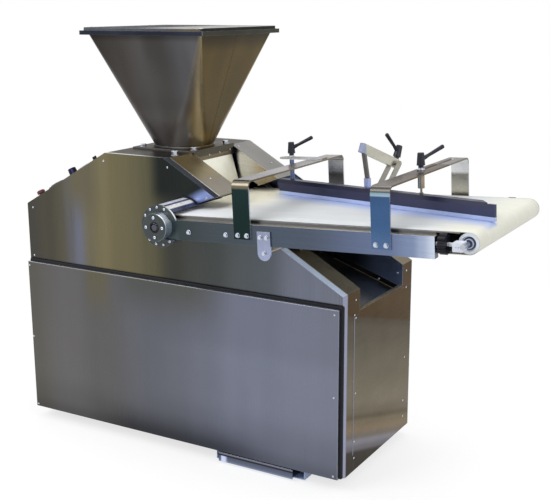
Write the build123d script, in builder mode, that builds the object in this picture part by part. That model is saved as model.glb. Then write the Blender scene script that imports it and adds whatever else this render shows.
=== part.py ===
from build123d import *
import os
from math import atan2, cos, degrees, hypot, pi, radians, sin

# All sizes are in millimetres. Body sizes run from the rear face (x), the near side face (y)
# and the bottom edge of the panels (z); the stations below place them in the shared frame.

# Cabinet
body_length = 1472.0
body_depth = 604.0
wall_height = 1126.0
control_drop = 237.5
slope_drop = 430.5
slope_run = 748.0
control_run = 421.0
top_run = 303.0
ground_gap = 50.0
sheet = 2.0
fold = 16.0
bevel = 12.0
top_front = control_run + top_run
slope_fall = slope_drop / slope_run
rear_height = wall_height - control_drop
front_height = wall_height - slope_fall * (body_length - top_front)

# Open channel between the two walls
hood_gap_near = 9.0
hood_gap_far = 11.0
arm_near = 113.0
arm_far_inset = 104.0
arm_drop = 95.5
end_drop = 82.5
end_seam = 79.0
end_return = 14.0
notch_tip = 943.0
notch_root_x = 848.0
notch_root_drop = 163.0
notch_drop = 55.0
lip_reach = 11.0
lip_drop = 36.0
chute_fall = 0.348
chute_start = 760.0
chute_drop = 107.5
trough_turnup = 22.0
arm_far = body_depth - arm_far_inset
arm_foot = front_height - arm_drop
end_edge = front_height - end_drop
notch_root_z = wall_height - notch_root_drop
chute_end_z = front_height - chute_drop

# Front plate in the channel
front_plate_gap = 2.0
front_plate_inset = 15.0
front_plate_lean = 0.296
front_plate_drop = 171.0
front_plate_sheet = 3.0
front_plate_foot = wall_height - front_plate_drop

# Service cover and seal
cover_left = 3.0
cover_margin = 16.0
cover_drop = 50.0
cover_front = 22.6
seal_depth = 10.0
seal_show = 12.0
seal_width = 30.0
cover_round = 4.0
cover_right = body_length - cover_margin
cover_top = front_height - cover_drop

# Base frame and feet
beam = 50.0
beam_wall = 3.0
foot_rear = 150.0
foot_front_inset = 127.0
foot_inset = 150.0
foot_radius = 25.0
foot_pad = 12.0
foot_stem = 10.0
foot_front = body_length - foot_front_inset

# Drip tray and its runners
tray_front_gap = 202.0
tray_long = 328.0
tray_front = 22.0
tray_depth = 380.0
tray_bottom = -40.0
tray_rim = -8.0
tray_face_top = -2.0
tray_face = 3.0
runner_rear_gap = 23.0
runner_front_gap = 40.0
runner_play = 0.5
runner_sheet = 2.5
tray_side_play = 4.0
tray_right = body_length - tray_front_gap
tray_left = tray_right - tray_long
runner_left = tray_left - runner_rear_gap
runner_right = tray_right + runner_front_gap

# Hopper
hopper_x = 587.5
hopper_y = body_depth / 2
hopper_base_x0 = 440.0
hopper_base_x1 = 733.0
hopper_base_half_y = 147.0
hopper_base_plate = 7.0
hopper_foot = 232.0
hopper_foot_round = 110.0
hopper_collar = 5.0
hopper_collar_proud = 4.0
rim_length = 577.0
rim_width = 559.0
rim_overhang = 20.0
hopper_tall = 464.0
rim_drop = 16.0
hopper_corner = 8.0
rim_top = wall_height + hopper_tall
hopper_sheet = 2.5
hopper_bolt_x = 118.0
hopper_bolt_forward = 6.0
hopper_bolt_y = 124.0
front_bolt_y = 115.0
corner_post_x = 701.0
corner_post_y = 76.0
small_bolt_flat = 22.0
small_bolt_head = 12.0
corner_post_flat = 22.0
corner_post_tall = 19.0

# Safety grid
grid_inset = 8.0
grid_bar = 12.0
grid_corner = 22.0
grid_rod_radius = 3.0
grid_rod_count = 17
hinge_offset = 9.0
hinge_pin = 4.0
hinge_lug = 12.0
hinge_lug_inset = 90.0
hinge_tab_gap = 1.0
hinge_tab_wide = 24.0

# Control panel fittings: distance along x of each centre and depth in from the near side
button_x = 40.0
button_y = 52.0
button_cap = 17.0
button_stem = 10.0
button_collar = 15.0
button_collar_height = 9.0
button_travel = 5.0
button_cap_height = 13.0
display_x = 104.0
display_y = 130.0
display_long = 74.0
display_deep = 140.0
display_tall = 19.0
knob_x = 222.0
knob_y = 48.0
knob_radius = 18.0
knob_tall = 32.0
knob_shaft = 4.0
counter_x = 287.0
counter_y = 75.0
counter_long = 57.0
counter_deep = 100.0
counter_tall = 9.0
selector_x = 329.0
selector_y = 60.0
selector_base = 12.0
selector_base_tall = 9.0
selector_grip_long = 20.0
selector_grip_wide = 8.0
selector_tall = 25.0
panel_gap = 0.5

# Dividing mechanism
plate_half_near = 132.0
plate_half_far = 120.0
plate_thick = 12.0
plate_rear = 380.0
plate_front = 722.0
plate_lobe = 752.0
lobe_low_drop = 306.0
lobe_high_drop = 141.0
plate_top_drop = 10.0
plate_corner_x = 45.0
plate_corner_z = 28.0
chamber_rear = 385.0
chamber_front = 640.0
chamber_low_drop = 181.0
chamber_high_drop = 41.0
drum_x = 660.0
drum_drop = 116.0
drum_radius = 80.0
drum_gap = 0.4
drum_shaft = 15.0
pocket_radius = 38.0
pocket_pitch = 116.0
pocket_floor = 20.0
pocket_piston = 18.0
bore_half_y = 100.0
bore_half_z = 45.0
throat_rear = 505.0
throat_front = 575.0
throat_half_y = 76.0
piston_front = 472.0
piston_long = 47.0
piston_rod = 20.0
piston_rod_end = 285.0
knife_thick = 8.0
knife_front = 473.0
knife_long = 101.5
slide_gap = 0.3
throat_wall = 4.0
run_fit = 0.05
plate_near = hopper_y - plate_half_near
plate_far = hopper_y + plate_half_far
plate_lobe_low = wall_height - lobe_low_drop
plate_lobe_high = wall_height - lobe_high_drop
plate_top = wall_height - plate_top_drop
chamber_low = wall_height - chamber_low_drop
chamber_high = wall_height - chamber_high_drop
drum_z = wall_height - drum_drop
hood_near = plate_near - hood_gap_near
hood_far = plate_far + plate_thick + hood_gap_far
front_plate_near = plate_near + front_plate_gap
front_plate_far = hood_far - front_plate_inset

# Gear motor, sprockets and chain
motor_x = 550.0
motor_z = 150.0
gearbox_half = 80.0
gearbox_foot = 100.0
gearbox_half_near = 62.0
gearbox_half_far = 98.0
motor_radius = 72.0
motor_end = 210.0
motor_fan = 60.0
motor_shaft = 15.0
sprocket_radius = 40.0
sprocket_thick = 8.0
sprocket_inset = 24.0
sprocket_hub = 24.0
chain_gap = 0.3
chain_tall = 7.0
shaft_inset = 14.0
shaft_hole_play = 3.0
sprocket_y = body_depth - sprocket_inset
gearbox_near = hopper_y - gearbox_half_near
gearbox_far = hopper_y + gearbox_half_far
shaft_far = body_depth - shaft_inset

# Cable gland on the rear panel
gland_reach = 25.0
gland_radius = 14.0
gland_bore = 6.0
gland_y = 500.0
gland_z = 130.0

# Conveyor: its own frame has u along the belt, v across it and w up from the drive roller's axis
drive_x = 798.0
drive_drop = 221.0
belt_mid = 202.0
belt_tilt = 2.79
roller_radius = 34.2
roller_gap = 0.3
belt_thick = 2.0
belt_inset = 38.0
roller_span = 1153.4
rail_far_gap = 26.0
rail_top = 24.5
rail_tall = 72.0
rail_flange = 30.0
rail_sheet = 3.0
rail_start = -30.0
rail_end_gap = 97.4
bed_sheet = 3.0
bed_gap = 0.3
bed_skirt = 21.0
bed_start = 26.0
bed_end_gap = 26.4
cross_tube = 12.0
cross_tube_w = -5.0
cross_tube_first = 250.0
cross_tube_second = 700.0
cross_tube_end_gap = 153.4
axle_radius = 8.0
drive_shaft = 15.0
roller_recess = 8.0
roller_recess_radius = 24.0
drive_z = wall_height - drive_drop
rail_outer = body_depth - fold - rail_far_gap - belt_mid
belt_half = rail_outer - belt_inset
bed_half = rail_outer - rail_flange
rail_end = roller_span - rail_end_gap
bed_end = roller_span - bed_end_gap
cross_tube_third = roller_span - cross_tube_end_gap

# Bearing flange, hub and mounting tube at the near end of the drive roller
flange_radius = 78.0
flange_thick = 8.0
hub_radius = 52.0
hub_proud = 30.0
hub_ring = 21.0
hub_ring_deep = 3.0
flange_bolt_circle = 69.0
flange_bolt_first = 66.0
flange_bolt_step = 27.0
flange_bolt_turn = 162.0
flange_bolt_radius = 5.0
hub_bolt_circle = 36.0
hub_bolt_radius = 6.0
bolt_head = 5.0
guard_sheet = 2.0
guard_open = 42.0
guard_clear = 2.0
far_bearing_radius = 40.0
far_bearing_thick = 10.0

# Belt take-up
knob_gap = 13.0
knob_thick = 25.0
star_radius = 27.0
star_lobe = 7.5
star_lobe_circle = 26.5
star_lobes = 8
take_up_inset = 13.0
stud_radius = 6.0
block_back = 32.4
block_low = -16.0
block_high = 13.0
block_wide = 40.0
rail_stop = 6.0
knob_start = rail_end + knob_gap
take_up_v = rail_outer - take_up_inset
block_start = roller_span - block_back

# Bridges over the belt
strip_wide = 68.0
strip_thick = 6.0
strip_bend = 24.0
bridge_top = 177.0
bridge_foot = -28.0
left_bridge_u = 353.0
right_bridge_u = 876.0
bridge_slot_low = -32.0
bridge_slot_inset = 50.0
slot_wide = 14.0
arm_start = 190.0
arm_end = 386.0
arm_wide = 44.0
arm_slot_low = 207.0
arm_slot_high = 297.0
bridge_slot_high = rail_outer - bridge_slot_inset

# Rail and leg bolts
bolt_radius = 8.0
rail_bolt_tall = 6.0
leg_bolt_spread = 18.0
leg_bolt_w = -14.0
rail_bolt_first = 124.0
rail_bolt_second = 282.0
rail_bolt_w = -17.0

# Support lugs and tie rod
lug_u = 438.0
lug_top = 4.0
lug_half_near = 26.0
lug_half_far = 15.0
lug_thick = 6.0
lug_bolt_spread = 13.0
lug_bolt_w = -16.5
tie_w = -72.0
tie_radius = 8.0
saddle_near_y = 62.0
saddle_far_inset = 74.0
saddle_thick = 20.0
saddle_half = 17.0
saddle_far_y = body_depth - saddle_far_inset

# Moulding guide over the belt
guide_start_u = 189.5
guide_start_v = 183.0
guide_turn = -18.34
guide_long = 1040.0
guide_sheet = 4.0
guide_gap = 0.8
strip_tall = 14.0
strip_deep = 12.0
guide_face = 31.0
guide_lean = 14.0
guide_rise = 12.5
guide_lip = 32.0
guide_overrun = 17.0
guide_cut = 59.0
guide_cut_gap = 21.0
guide_end_long = 28.0
guide_end_deep = 11.0
guide_end_tall = 42.0
post_s = 36.0
post_left_along = 40.7
post_right_along = 703.9
left_post_radius = 9.0
right_post_radius = 12.0
post_neck = 4.0
post_neck_tall = 20.0
post_nut = 13.0
post_nut_tall = 5.0
post_stud = 5.0
post_pin = 5.0
post_gap = 0.3
washer_radius = 14.0
washer_thick = 4.0
nut_radius = 9.0
left_nut_tall = 3.0
right_nut_tall = 5.0

# Clamp levers
lever_hub_radius = 15.0
lever_hub_top = 11.5
lever_hub_tall = 52.0
lever_collar = 9.5
lever_collar_tall = 8.0
lever_grip_drop = 25.0
lever_long = 96.0
lever_rise = 26.0
lever_root = 9.0
lever_waist = 6.0
lever_tip = 7.5
lever_bore_deep = 30.0
left_lever_turn = 20.0
right_lever_turn = 45.0

# Bracket behind the guide
bracket_along = 447.0
bracket_wide = 18.0
bracket_tall = 35.0
bracket_a_s = 15.7
bracket_a_w = 242.5
bracket_b_s = 187.7
bracket_b_w = 166.6
bracket_block_s = 37.0
bracket_block_half = 9.0
bracket_block_tall = 35.5
bracket_strut_thick = 8.0
fork_thick = 5.0
fork_spread = 19.0
fork_spacer = 8.0
fork_tall = 22.0
heel_low = 56.0
heel_high = 66.0
heel_deep = 106.0
bracket_stud = 5.0

# Stations of the body in the shared frame
tilt = radians(belt_tilt)
along = Vector(cos(tilt), 0, sin(tilt))
upward = Vector(-sin(tilt), 0, cos(tilt))
belt_inner = roller_radius + roller_gap
belt_outer = belt_inner + belt_thick
machine_right = drive_x + roller_span * cos(tilt) + belt_outer
near_reach = rail_outer - belt_mid + flange_thick + hub_proud + bolt_head
rear = -(gland_reach + machine_right) / 2 + gland_reach
near = -(near_reach + body_depth) / 2 + near_reach
drive_axis = Vector(rear + drive_x, near + belt_mid, ground_gap + drive_z)


def side(y):
    """Upright plane facing the near side: local x is length, local y is height; extrudes nearer."""
    return Plane(origin=(rear, near + y, ground_gap), x_dir=(1, 0, 0), z_dir=(0, -1, 0))


def level(z):
    """Level plane at a height: local x is length, local y is depth; extrudes up."""
    return Plane(origin=(rear, near, ground_gap + z), x_dir=(1, 0, 0), z_dir=(0, 0, 1))


def station(x):
    """Upright plane across the machine: local x is depth, local y is height; extrudes forward."""
    return Plane(origin=(rear + x, near, ground_gap), x_dir=(0, 1, 0), z_dir=(1, 0, 0))


def deck_side(v):
    """Upright plane along the belt: local x is u, local y is w; extrudes nearer."""
    return Plane(origin=drive_axis + Vector(0, v, 0), x_dir=along, z_dir=(0, -1, 0))


def deck_level(w):
    """Plane of the belt at a height: local x is u, local y is v; extrudes up from the belt."""
    return Plane(origin=drive_axis + upward * w, x_dir=along, z_dir=upward)


def deck_cross(u):
    """Plane across the belt: local x is v, local y is w; extrudes along the belt."""
    return Plane(origin=drive_axis + along * u, x_dir=(0, 1, 0), z_dir=along)


def slope_z(x):
    """Height of the front slope above the panel bottom."""
    return wall_height - (x - top_front) * slope_fall


def deck_point(u, w):
    """Body length and height of a point given along the belt and above its axis."""
    return drive_x + u * cos(tilt) - w * sin(tilt), drive_z + u * sin(tilt) + w * cos(tilt)


def inset(points, distance):
    """Mitred inward offset of a closed outline that runs anticlockwise."""
    moved = []
    for i, point in enumerate(points):
        before = (Vector(*point) - Vector(*points[i - 1])).normalized()
        after = (Vector(*points[(i + 1) % len(points)]) - Vector(*point)).normalized()
        first = Vector(-before.Y, before.X)
        second = Vector(-after.Y, after.X)
        shift = (first + second) * (distance / (1 + first.dot(second)))
        moved.append((point[0] + shift.X, point[1] + shift.Y))
    return moved


outline = [
    (0, 0),
    (body_length, 0),
    (body_length, front_height),
    (top_front, wall_height),
    (control_run, wall_height),
    (0, rear_height),
]
lining = inset(outline, sheet)
depth_inside = body_depth - 2 * fold
control_angle = atan2(wall_height - rear_height, control_run)

os.makedirs("parts", exist_ok=True)


def save(builder, name):
    builder.part.label = name
    export_step(builder.part, "parts/" + name + ".step")


# Lower edge of the conveyor notch, parallel to the belt, and where it meets the slope
notch_low_x, notch_low_z = deck_point(0, -notch_drop)
belt_rise = sin(tilt) / cos(tilt)
notch_exit_x = (slope_z(0) - notch_low_z + notch_low_x * belt_rise) / (slope_fall + belt_rise)
notch_exit_z = slope_z(notch_exit_x)
guard_hole = flange_radius + guard_clear

# Base frame: a ladder of channels open below, with the tray runners under it
with BuildPart() as base_frame:
    with BuildSketch(level(0)) as ladder:
        with Locations((body_length / 2, body_depth / 2)):
            Rectangle(body_length - 2 * sheet, depth_inside)
            Rectangle(body_length - 2 * sheet - 2 * beam, depth_inside - 2 * beam, mode=Mode.SUBTRACT)
        with Locations(
            (foot_rear, body_depth / 2),
            (foot_front, body_depth / 2),
            (plate_rear + beam / 2, body_depth / 2),
            (plate_front - beam / 2, body_depth / 2),
        ):
            Rectangle(beam, depth_inside)
    extrude(amount=beam)
    with BuildSketch(level(0)):
        offset(ladder.sketch_local, amount=-beam_wall)
    extrude(amount=beam - beam_wall, mode=Mode.SUBTRACT)
    runner_low = tray_bottom - runner_play - runner_sheet
    with BuildSketch(side(tray_depth)):
        with BuildLine():
            Polyline(
                (runner_left, 0),
                (runner_left, runner_low),
                (tray_left + tray_side_play * 2, runner_low),
                (tray_left + tray_side_play * 2, runner_low + runner_sheet),
                (runner_left + runner_sheet, runner_low + runner_sheet),
                (runner_left + runner_sheet, 0),
                close=True,
            )
        make_face()
        with BuildLine():
            Polyline(
                (runner_right, 0),
                (runner_right, runner_low),
                (tray_right - tray_side_play * 2, runner_low),
                (tray_right - tray_side_play * 2, runner_low + runner_sheet),
                (runner_right - runner_sheet, runner_low + runner_sheet),
                (runner_right - runner_sheet, 0),
                close=True,
            )
        make_face()
    extrude(amount=tray_depth)
save(base_frame, "base_frame")

with BuildPart() as levelling_feet:
    with BuildSketch(level(-ground_gap)):
        with Locations((body_length / 2, body_depth / 2)):
            with Locations(
                (foot_rear - body_length / 2, foot_inset - body_depth / 2),
                (foot_rear - body_length / 2, body_depth / 2 - foot_inset),
                (foot_front - body_length / 2, foot_inset - body_depth / 2),
                (foot_front - body_length / 2, body_depth / 2 - foot_inset),
            ):
                Circle(foot_radius)
    extrude(amount=foot_pad)
    chamfer(edges().group_by(Axis.Z)[-1], foot_pad / 4)
    with BuildSketch(level(foot_pad - ground_gap)):
        with Locations(
            (foot_rear, foot_inset),
            (foot_rear, body_depth - foot_inset),
            (foot_front, foot_inset),
            (foot_front, body_depth - foot_inset),
        ):
            Circle(foot_stem)
    extrude(amount=ground_gap - foot_pad + beam - beam_wall)
save(levelling_feet, "levelling_feet")

# Side panels: pans with a bevelled front slope and front edge, the near one notched for the conveyor
with BuildPart() as near_side_panel:
    with BuildSketch(side(fold)):
        with BuildLine():
            Polyline(*outline, close=True)
        make_face()
    extrude(amount=fold)
    outer_face = faces().sort_by(Axis.Y)[0]
    front_edges = outer_face.edges().sort_by(Axis.X)[-2:]
    chamfer(front_edges, bevel)
    offset(amount=-sheet, openings=faces().sort_by(Axis.Y)[-1], kind=Kind.INTERSECTION)
    with BuildSketch(side(fold)):
        with BuildLine():
            Polyline(
                (notch_tip, slope_z(notch_tip)),
                (notch_root_x, notch_root_z),
                (notch_low_x, drive_z),
                (notch_low_x, notch_low_z),
                (notch_exit_x, notch_exit_z),
                (notch_exit_x, slope_z(notch_tip)),
                close=True,
            )
        make_face()
        with Locations((drive_x, drive_z)):
            Circle(guard_hole)
    extrude(amount=fold, mode=Mode.SUBTRACT)
save(near_side_panel, "near_side_panel")

with BuildPart() as far_side_panel:
    with BuildSketch(side(body_depth)):
        with BuildLine():
            Polyline(*outline, close=True)
        make_face()
    extrude(amount=fold)
    outer_face = faces().sort_by(Axis.Y)[-1]
    front_edges = outer_face.edges().sort_by(Axis.X)[-2:]
    chamfer(front_edges, bevel)
    offset(amount=-sheet, openings=faces().sort_by(Axis.Y)[0], kind=Kind.INTERSECTION)
save(far_side_panel, "far_side_panel")


def hood(y_low, y_high, open_face):
    """Upper cover of one wall: slope, underside and inner wall, cut clear of the mounting tube."""
    with BuildPart() as piece:
        with BuildSketch(side(y_high)):
            with BuildLine():
                Polyline(
                    (top_front, wall_height),
                    (notch_tip, slope_z(notch_tip)),
                    (notch_root_x, notch_root_z),
                    (top_front, notch_root_z),
                    close=True,
                )
            make_face()
        extrude(amount=y_high - y_low)
        open_faces = [faces().sort_by(Axis.Y)[open_face], faces().sort_by(Axis.X)[0]]
        offset(amount=-sheet, openings=open_faces, kind=Kind.INTERSECTION)
        with BuildSketch(side(y_high)):
            with Locations((drive_x, drive_z)):
                Circle(guard_hole)
        extrude(amount=y_high - y_low, mode=Mode.SUBTRACT)
    return piece


near_upper_cover = hood(fold, hood_near, 0)
save(near_upper_cover, "near_upper_cover")
far_upper_cover = hood(hood_far, body_depth - fold, -1)
save(far_upper_cover, "far_upper_cover")


def arm(y_low, y_high, open_face, saddle_y, strip_to):
    """Lower cover of one wall with the saddle that holds the tie rod."""
    tie_x, tie_z = deck_point(lug_u, tie_w)
    with BuildPart() as piece:
        with BuildSketch(side(y_high)):
            with BuildLine():
                Polyline(
                    (notch_exit_x, notch_exit_z),
                    (body_length, front_height),
                    (body_length, arm_foot),
                    (notch_exit_x, arm_foot),
                    close=True,
                )
            make_face()
        extrude(amount=y_high - y_low)
        open_faces = [
            faces().sort_by(Axis.Y)[open_face],
            faces().sort_by(Axis.X)[0],
            faces().sort_by(Axis.Z)[0],
        ]
        offset(amount=-sheet, openings=open_faces, kind=Kind.INTERSECTION)
        with BuildSketch(side(saddle_y + saddle_thick)):
            with BuildLine():
                Polyline(
                    (tie_x - saddle_half, slope_z(tie_x - saddle_half)),
                    (tie_x - saddle_half, tie_z),
                    (tie_x + saddle_half, tie_z),
                    (tie_x + saddle_half, slope_z(tie_x + saddle_half)),
                    close=True,
                )
            make_face()
            with Locations((tie_x, tie_z)):
                Circle(saddle_half)
                Circle(tie_radius, mode=Mode.SUBTRACT)
        extrude(amount=saddle_thick)
        if strip_to > y_low:
            with BuildSketch(station(body_length - sheet)):
                with Locations(((y_low + strip_to) / 2, arm_foot / 2)):
                    Rectangle(strip_to - y_low, arm_foot)
            extrude(amount=sheet)
    return piece


near_lower_cover = arm(fold, arm_near, 0, saddle_near_y, end_seam)
save(near_lower_cover, "near_lower_cover")
far_lower_cover = arm(arm_far, body_depth - fold, -1, saddle_far_y, arm_far)
save(far_lower_cover, "far_lower_cover")

with BuildPart() as end_panel:
    with BuildSketch(station(body_length - sheet)):
        with BuildLine():
            Polyline(
                (end_seam + slide_gap, 0),
                (body_depth - fold, 0),
                (body_depth - fold, arm_foot),
                (arm_far, arm_foot),
                (arm_far, end_edge),
                (arm_near, end_edge),
                (arm_near, arm_foot),
                (end_seam + slide_gap, arm_foot),
                close=True,
            )
        make_face()
    extrude(amount=sheet)
    with BuildSketch(level(end_edge - sheet)):
        with Locations((body_length - sheet - end_return / 2, (arm_near + arm_far) / 2)):
            Rectangle(end_return, arm_far - arm_near)
    extrude(amount=sheet)
save(end_panel, "end_panel")

with BuildPart() as rear_panel:
    with BuildSketch(side(body_depth - fold)):
        with BuildLine():
            Polyline(outline[5], outline[0], lining[0], lining[5], close=True)
        make_face()
    extrude(amount=depth_inside)
    with BuildSketch(station(-gland_reach)):
        with Locations((gland_y, gland_z)):
            Circle(gland_bore)
    extrude(amount=gland_reach + sheet, mode=Mode.SUBTRACT)
save(rear_panel, "rear_panel")

with BuildPart() as cable_gland:
    with BuildSketch(station(-gland_reach)):
        with Locations((gland_y, gland_z)):
            Circle(gland_radius * 0.8)
            Circle(gland_bore, mode=Mode.SUBTRACT)
    extrude(amount=gland_reach)
    with BuildSketch(station(-gland_reach / 2)):
        with Locations((gland_y, gland_z)):
            RegularPolygon(gland_radius, 6)
            Circle(gland_bore, mode=Mode.SUBTRACT)
    extrude(amount=gland_reach / 2)
save(cable_gland, "cable_gland")


def on_control(x, y):
    """Plane on the sloping control panel: local x runs up the slope, local y is depth."""
    return Plane(
        origin=(rear + x, near + y, ground_gap + rear_height + x * sin(control_angle) / cos(control_angle)),
        x_dir=(cos(control_angle), 0, sin(control_angle)),
        z_dir=(-sin(control_angle), 0, cos(control_angle)),
    )


with BuildPart() as control_panel:
    with BuildSketch(side(body_depth - fold)):
        with BuildLine():
            Polyline(outline[4], outline[5], lining[5], lining[4], close=True)
        make_face()
    extrude(amount=depth_inside)
    with BuildSketch(on_control(knob_x, knob_y)):
        Circle(knob_shaft + run_fit)
    extrude(amount=-2 * sheet, mode=Mode.SUBTRACT)
    with BuildSketch(on_control(selector_x, selector_y)):
        Circle(knob_shaft + run_fit)
    extrude(amount=-2 * sheet, mode=Mode.SUBTRACT)
save(control_panel, "control_panel")

with BuildPart() as control_fittings:
    with BuildSketch(on_control(button_x, button_y)):
        Circle(button_collar)
        Circle(button_stem + slide_gap, mode=Mode.SUBTRACT)
    extrude(amount=button_collar_height)
    with BuildSketch(on_control(display_x, display_y)):
        RectangleRounded(display_long, display_deep, button_travel)
    extrude(amount=display_tall, taper=6)
    with BuildSketch(on_control(counter_x, counter_y)):
        RectangleRounded(counter_long, counter_deep, button_travel)
    extrude(amount=counter_tall, taper=6)
    with BuildSketch(on_control(selector_x, selector_y)):
        Circle(selector_base)
        Circle(knob_shaft + run_fit, mode=Mode.SUBTRACT)
    extrude(amount=selector_base_tall)
save(control_fittings, "control_fittings")

with BuildPart() as emergency_button:
    with BuildSketch(on_control(button_x, button_y).offset(button_travel + panel_gap)):
        Circle(button_stem)
    extrude(amount=button_collar_height + panel_gap)
    with BuildSketch(on_control(button_x, button_y).offset(button_collar_height + button_travel + panel_gap)):
        Circle(button_cap)
    extrude(amount=button_cap_height)
    cap_faces = faces().sort_by(Axis(emergency_button.part.center(), on_control(0, 0).z_dir))
    fillet(cap_faces[-1].edges(), button_travel)
save(emergency_button, "emergency_button")

with BuildPart() as setting_knob:
    with BuildSketch(on_control(knob_x, knob_y).offset(panel_gap)):
        Circle(knob_radius)
    extrude(amount=knob_tall - panel_gap, taper=3)
    knob_faces = faces().sort_by(Axis(setting_knob.part.center(), on_control(0, 0).z_dir))
    fillet(knob_faces[-1].edges(), sheet)
    with BuildSketch(on_control(knob_x, knob_y).offset(knob_tall)):
        with Locations((knob_radius / 2, 0)):
            Rectangle(knob_radius, sheet)
    extrude(amount=-sheet, mode=Mode.SUBTRACT)
    with BuildSketch(on_control(knob_x, knob_y).offset(-fold)):
        Circle(knob_shaft)
    extrude(amount=fold + knob_tall / 2)
save(setting_knob, "setting_knob")

with BuildPart() as selector_switch:
    with BuildSketch(on_control(selector_x, selector_y).offset(selector_base_tall + panel_gap)):
        SlotOverall(selector_grip_long, selector_grip_wide)
    extrude(amount=selector_tall - selector_base_tall)
    with BuildSketch(on_control(selector_x, selector_y).offset(-fold)):
        Circle(knob_shaft)
    extrude(amount=fold + selector_base_tall + knob_shaft)
save(selector_switch, "selector_switch")

with BuildPart() as top_plate:
    with BuildSketch(side(body_depth - fold)):
        with BuildLine():
            Polyline(outline[3], outline[4], lining[4], lining[3], close=True)
        make_face()
    extrude(amount=depth_inside)
    lip_x = top_front + lip_reach
    with BuildSketch(side(hood_far - panel_gap)):
        with BuildLine():
            Polyline(
                (top_front - fold, wall_height),
                (top_front - fold, wall_height - sheet),
                (lip_x - sheet, wall_height - sheet),
                (lip_x - sheet, wall_height - lip_drop),
                (lip_x, wall_height - lip_drop),
                (lip_x, wall_height),
                close=True,
            )
        make_face()
    extrude(amount=hood_far - hood_near - 2 * panel_gap)
    with BuildSketch(level(wall_height - 2 * sheet)):
        with Locations(((throat_rear + throat_front) / 2, hopper_y)):
            Rectangle(
                throat_front - throat_rear + 2 * throat_wall,
                2 * (throat_half_y + throat_wall),
            )
    extrude(amount=3 * sheet, mode=Mode.SUBTRACT)
save(top_plate, "top_plate")

# Pale plate hung behind the lip and leaning forward over the start of the belt
with BuildPart() as front_plate:
    hang_x = lip_x - sheet
    bend_z = wall_height - lip_drop
    foot_x = hang_x + (bend_z - front_plate_foot) * front_plate_lean
    with BuildSketch(side(front_plate_far)):
        with BuildLine():
            Polyline(
                (hang_x, wall_height - sheet - slide_gap),
                (hang_x - front_plate_sheet, wall_height - sheet - slide_gap),
                (hang_x - front_plate_sheet, bend_z),
                (foot_x - front_plate_sheet, front_plate_foot),
                (foot_x, front_plate_foot),
                (hang_x, bend_z),
                close=True,
            )
        make_face()
    extrude(amount=front_plate_far - front_plate_near)
save(front_plate, "front_plate")

with BuildPart() as trough_floor:
    chute_end = body_length - sheet - end_return - slide_gap
    with BuildSketch(side(arm_far)):
        with BuildLine():
            Polyline(
                (chute_start, chute_end_z + (chute_end - chute_start) * chute_fall),
                (chute_end, chute_end_z),
                (chute_end, chute_end_z - sheet),
                (chute_start, chute_end_z + (chute_end - chute_start) * chute_fall - sheet),
                close=True,
            )
        make_face()
    extrude(amount=arm_far - arm_near)
    with BuildSketch(side(arm_far)):
        with BuildLine():
            Polyline(
                (notch_exit_x, chute_end_z + (chute_end - notch_exit_x) * chute_fall + trough_turnup),
                (chute_end, chute_end_z + trough_turnup),
                (chute_end, chute_end_z),
                (notch_exit_x, chute_end_z + (chute_end - notch_exit_x) * chute_fall),
                close=True,
            )
        make_face()
    extrude(amount=sheet)
save(trough_floor, "trough_floor")

# Service cover on the near side and the seal frame behind it
with BuildPart() as service_cover:
    with BuildSketch(side(-seal_depth)):
        with Locations(((cover_left + cover_right) / 2, cover_top / 2)):
            Rectangle(cover_right - cover_left, cover_top)
    extrude(amount=cover_front - seal_depth)
    fillet(faces().sort_by(Axis.Y)[0].edges(), cover_round)
    with BuildSketch(side(-seal_depth)):
        with Locations(((cover_left + cover_right) / 2, cover_top / 2)):
            Rectangle(cover_right - cover_left - 2 * sheet, cover_top - 2 * sheet)
    extrude(amount=cover_front - seal_depth - sheet, mode=Mode.SUBTRACT)
save(service_cover, "service_cover")

with BuildPart() as cover_seal:
    with BuildSketch(side(0)):
        seal_right = cover_right + seal_show
        seal_top = cover_top + seal_show
        with Locations(((cover_left + seal_right) / 2, seal_top / 2)):
            Rectangle(seal_right - cover_left, seal_top)
            Rectangle(
                seal_right - cover_left - 2 * seal_width,
                seal_top - 2 * seal_width,
                mode=Mode.SUBTRACT,
            )
    extrude(amount=seal_depth)
save(cover_seal, "cover_seal")

with BuildPart() as drip_tray:
    with BuildSketch(level(tray_bottom)):
        with Locations(((tray_left + tray_right) / 2, (tray_depth - tray_front) / 2)):
            Rectangle(tray_right - tray_left - 2 * tray_side_play, tray_depth + tray_front - 2 * tray_face)
    extrude(amount=tray_rim - tray_bottom)
    offset(amount=-sheet, openings=faces().sort_by(Axis.Z)[-1], kind=Kind.INTERSECTION)
    with BuildSketch(side(tray_face - tray_front)):
        with Locations(((tray_left + tray_right) / 2, (tray_bottom + tray_face_top) / 2)):
            Rectangle(tray_right - tray_left, tray_face_top - tray_bottom)
    extrude(amount=tray_face)
save(drip_tray, "drip_tray")

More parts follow.
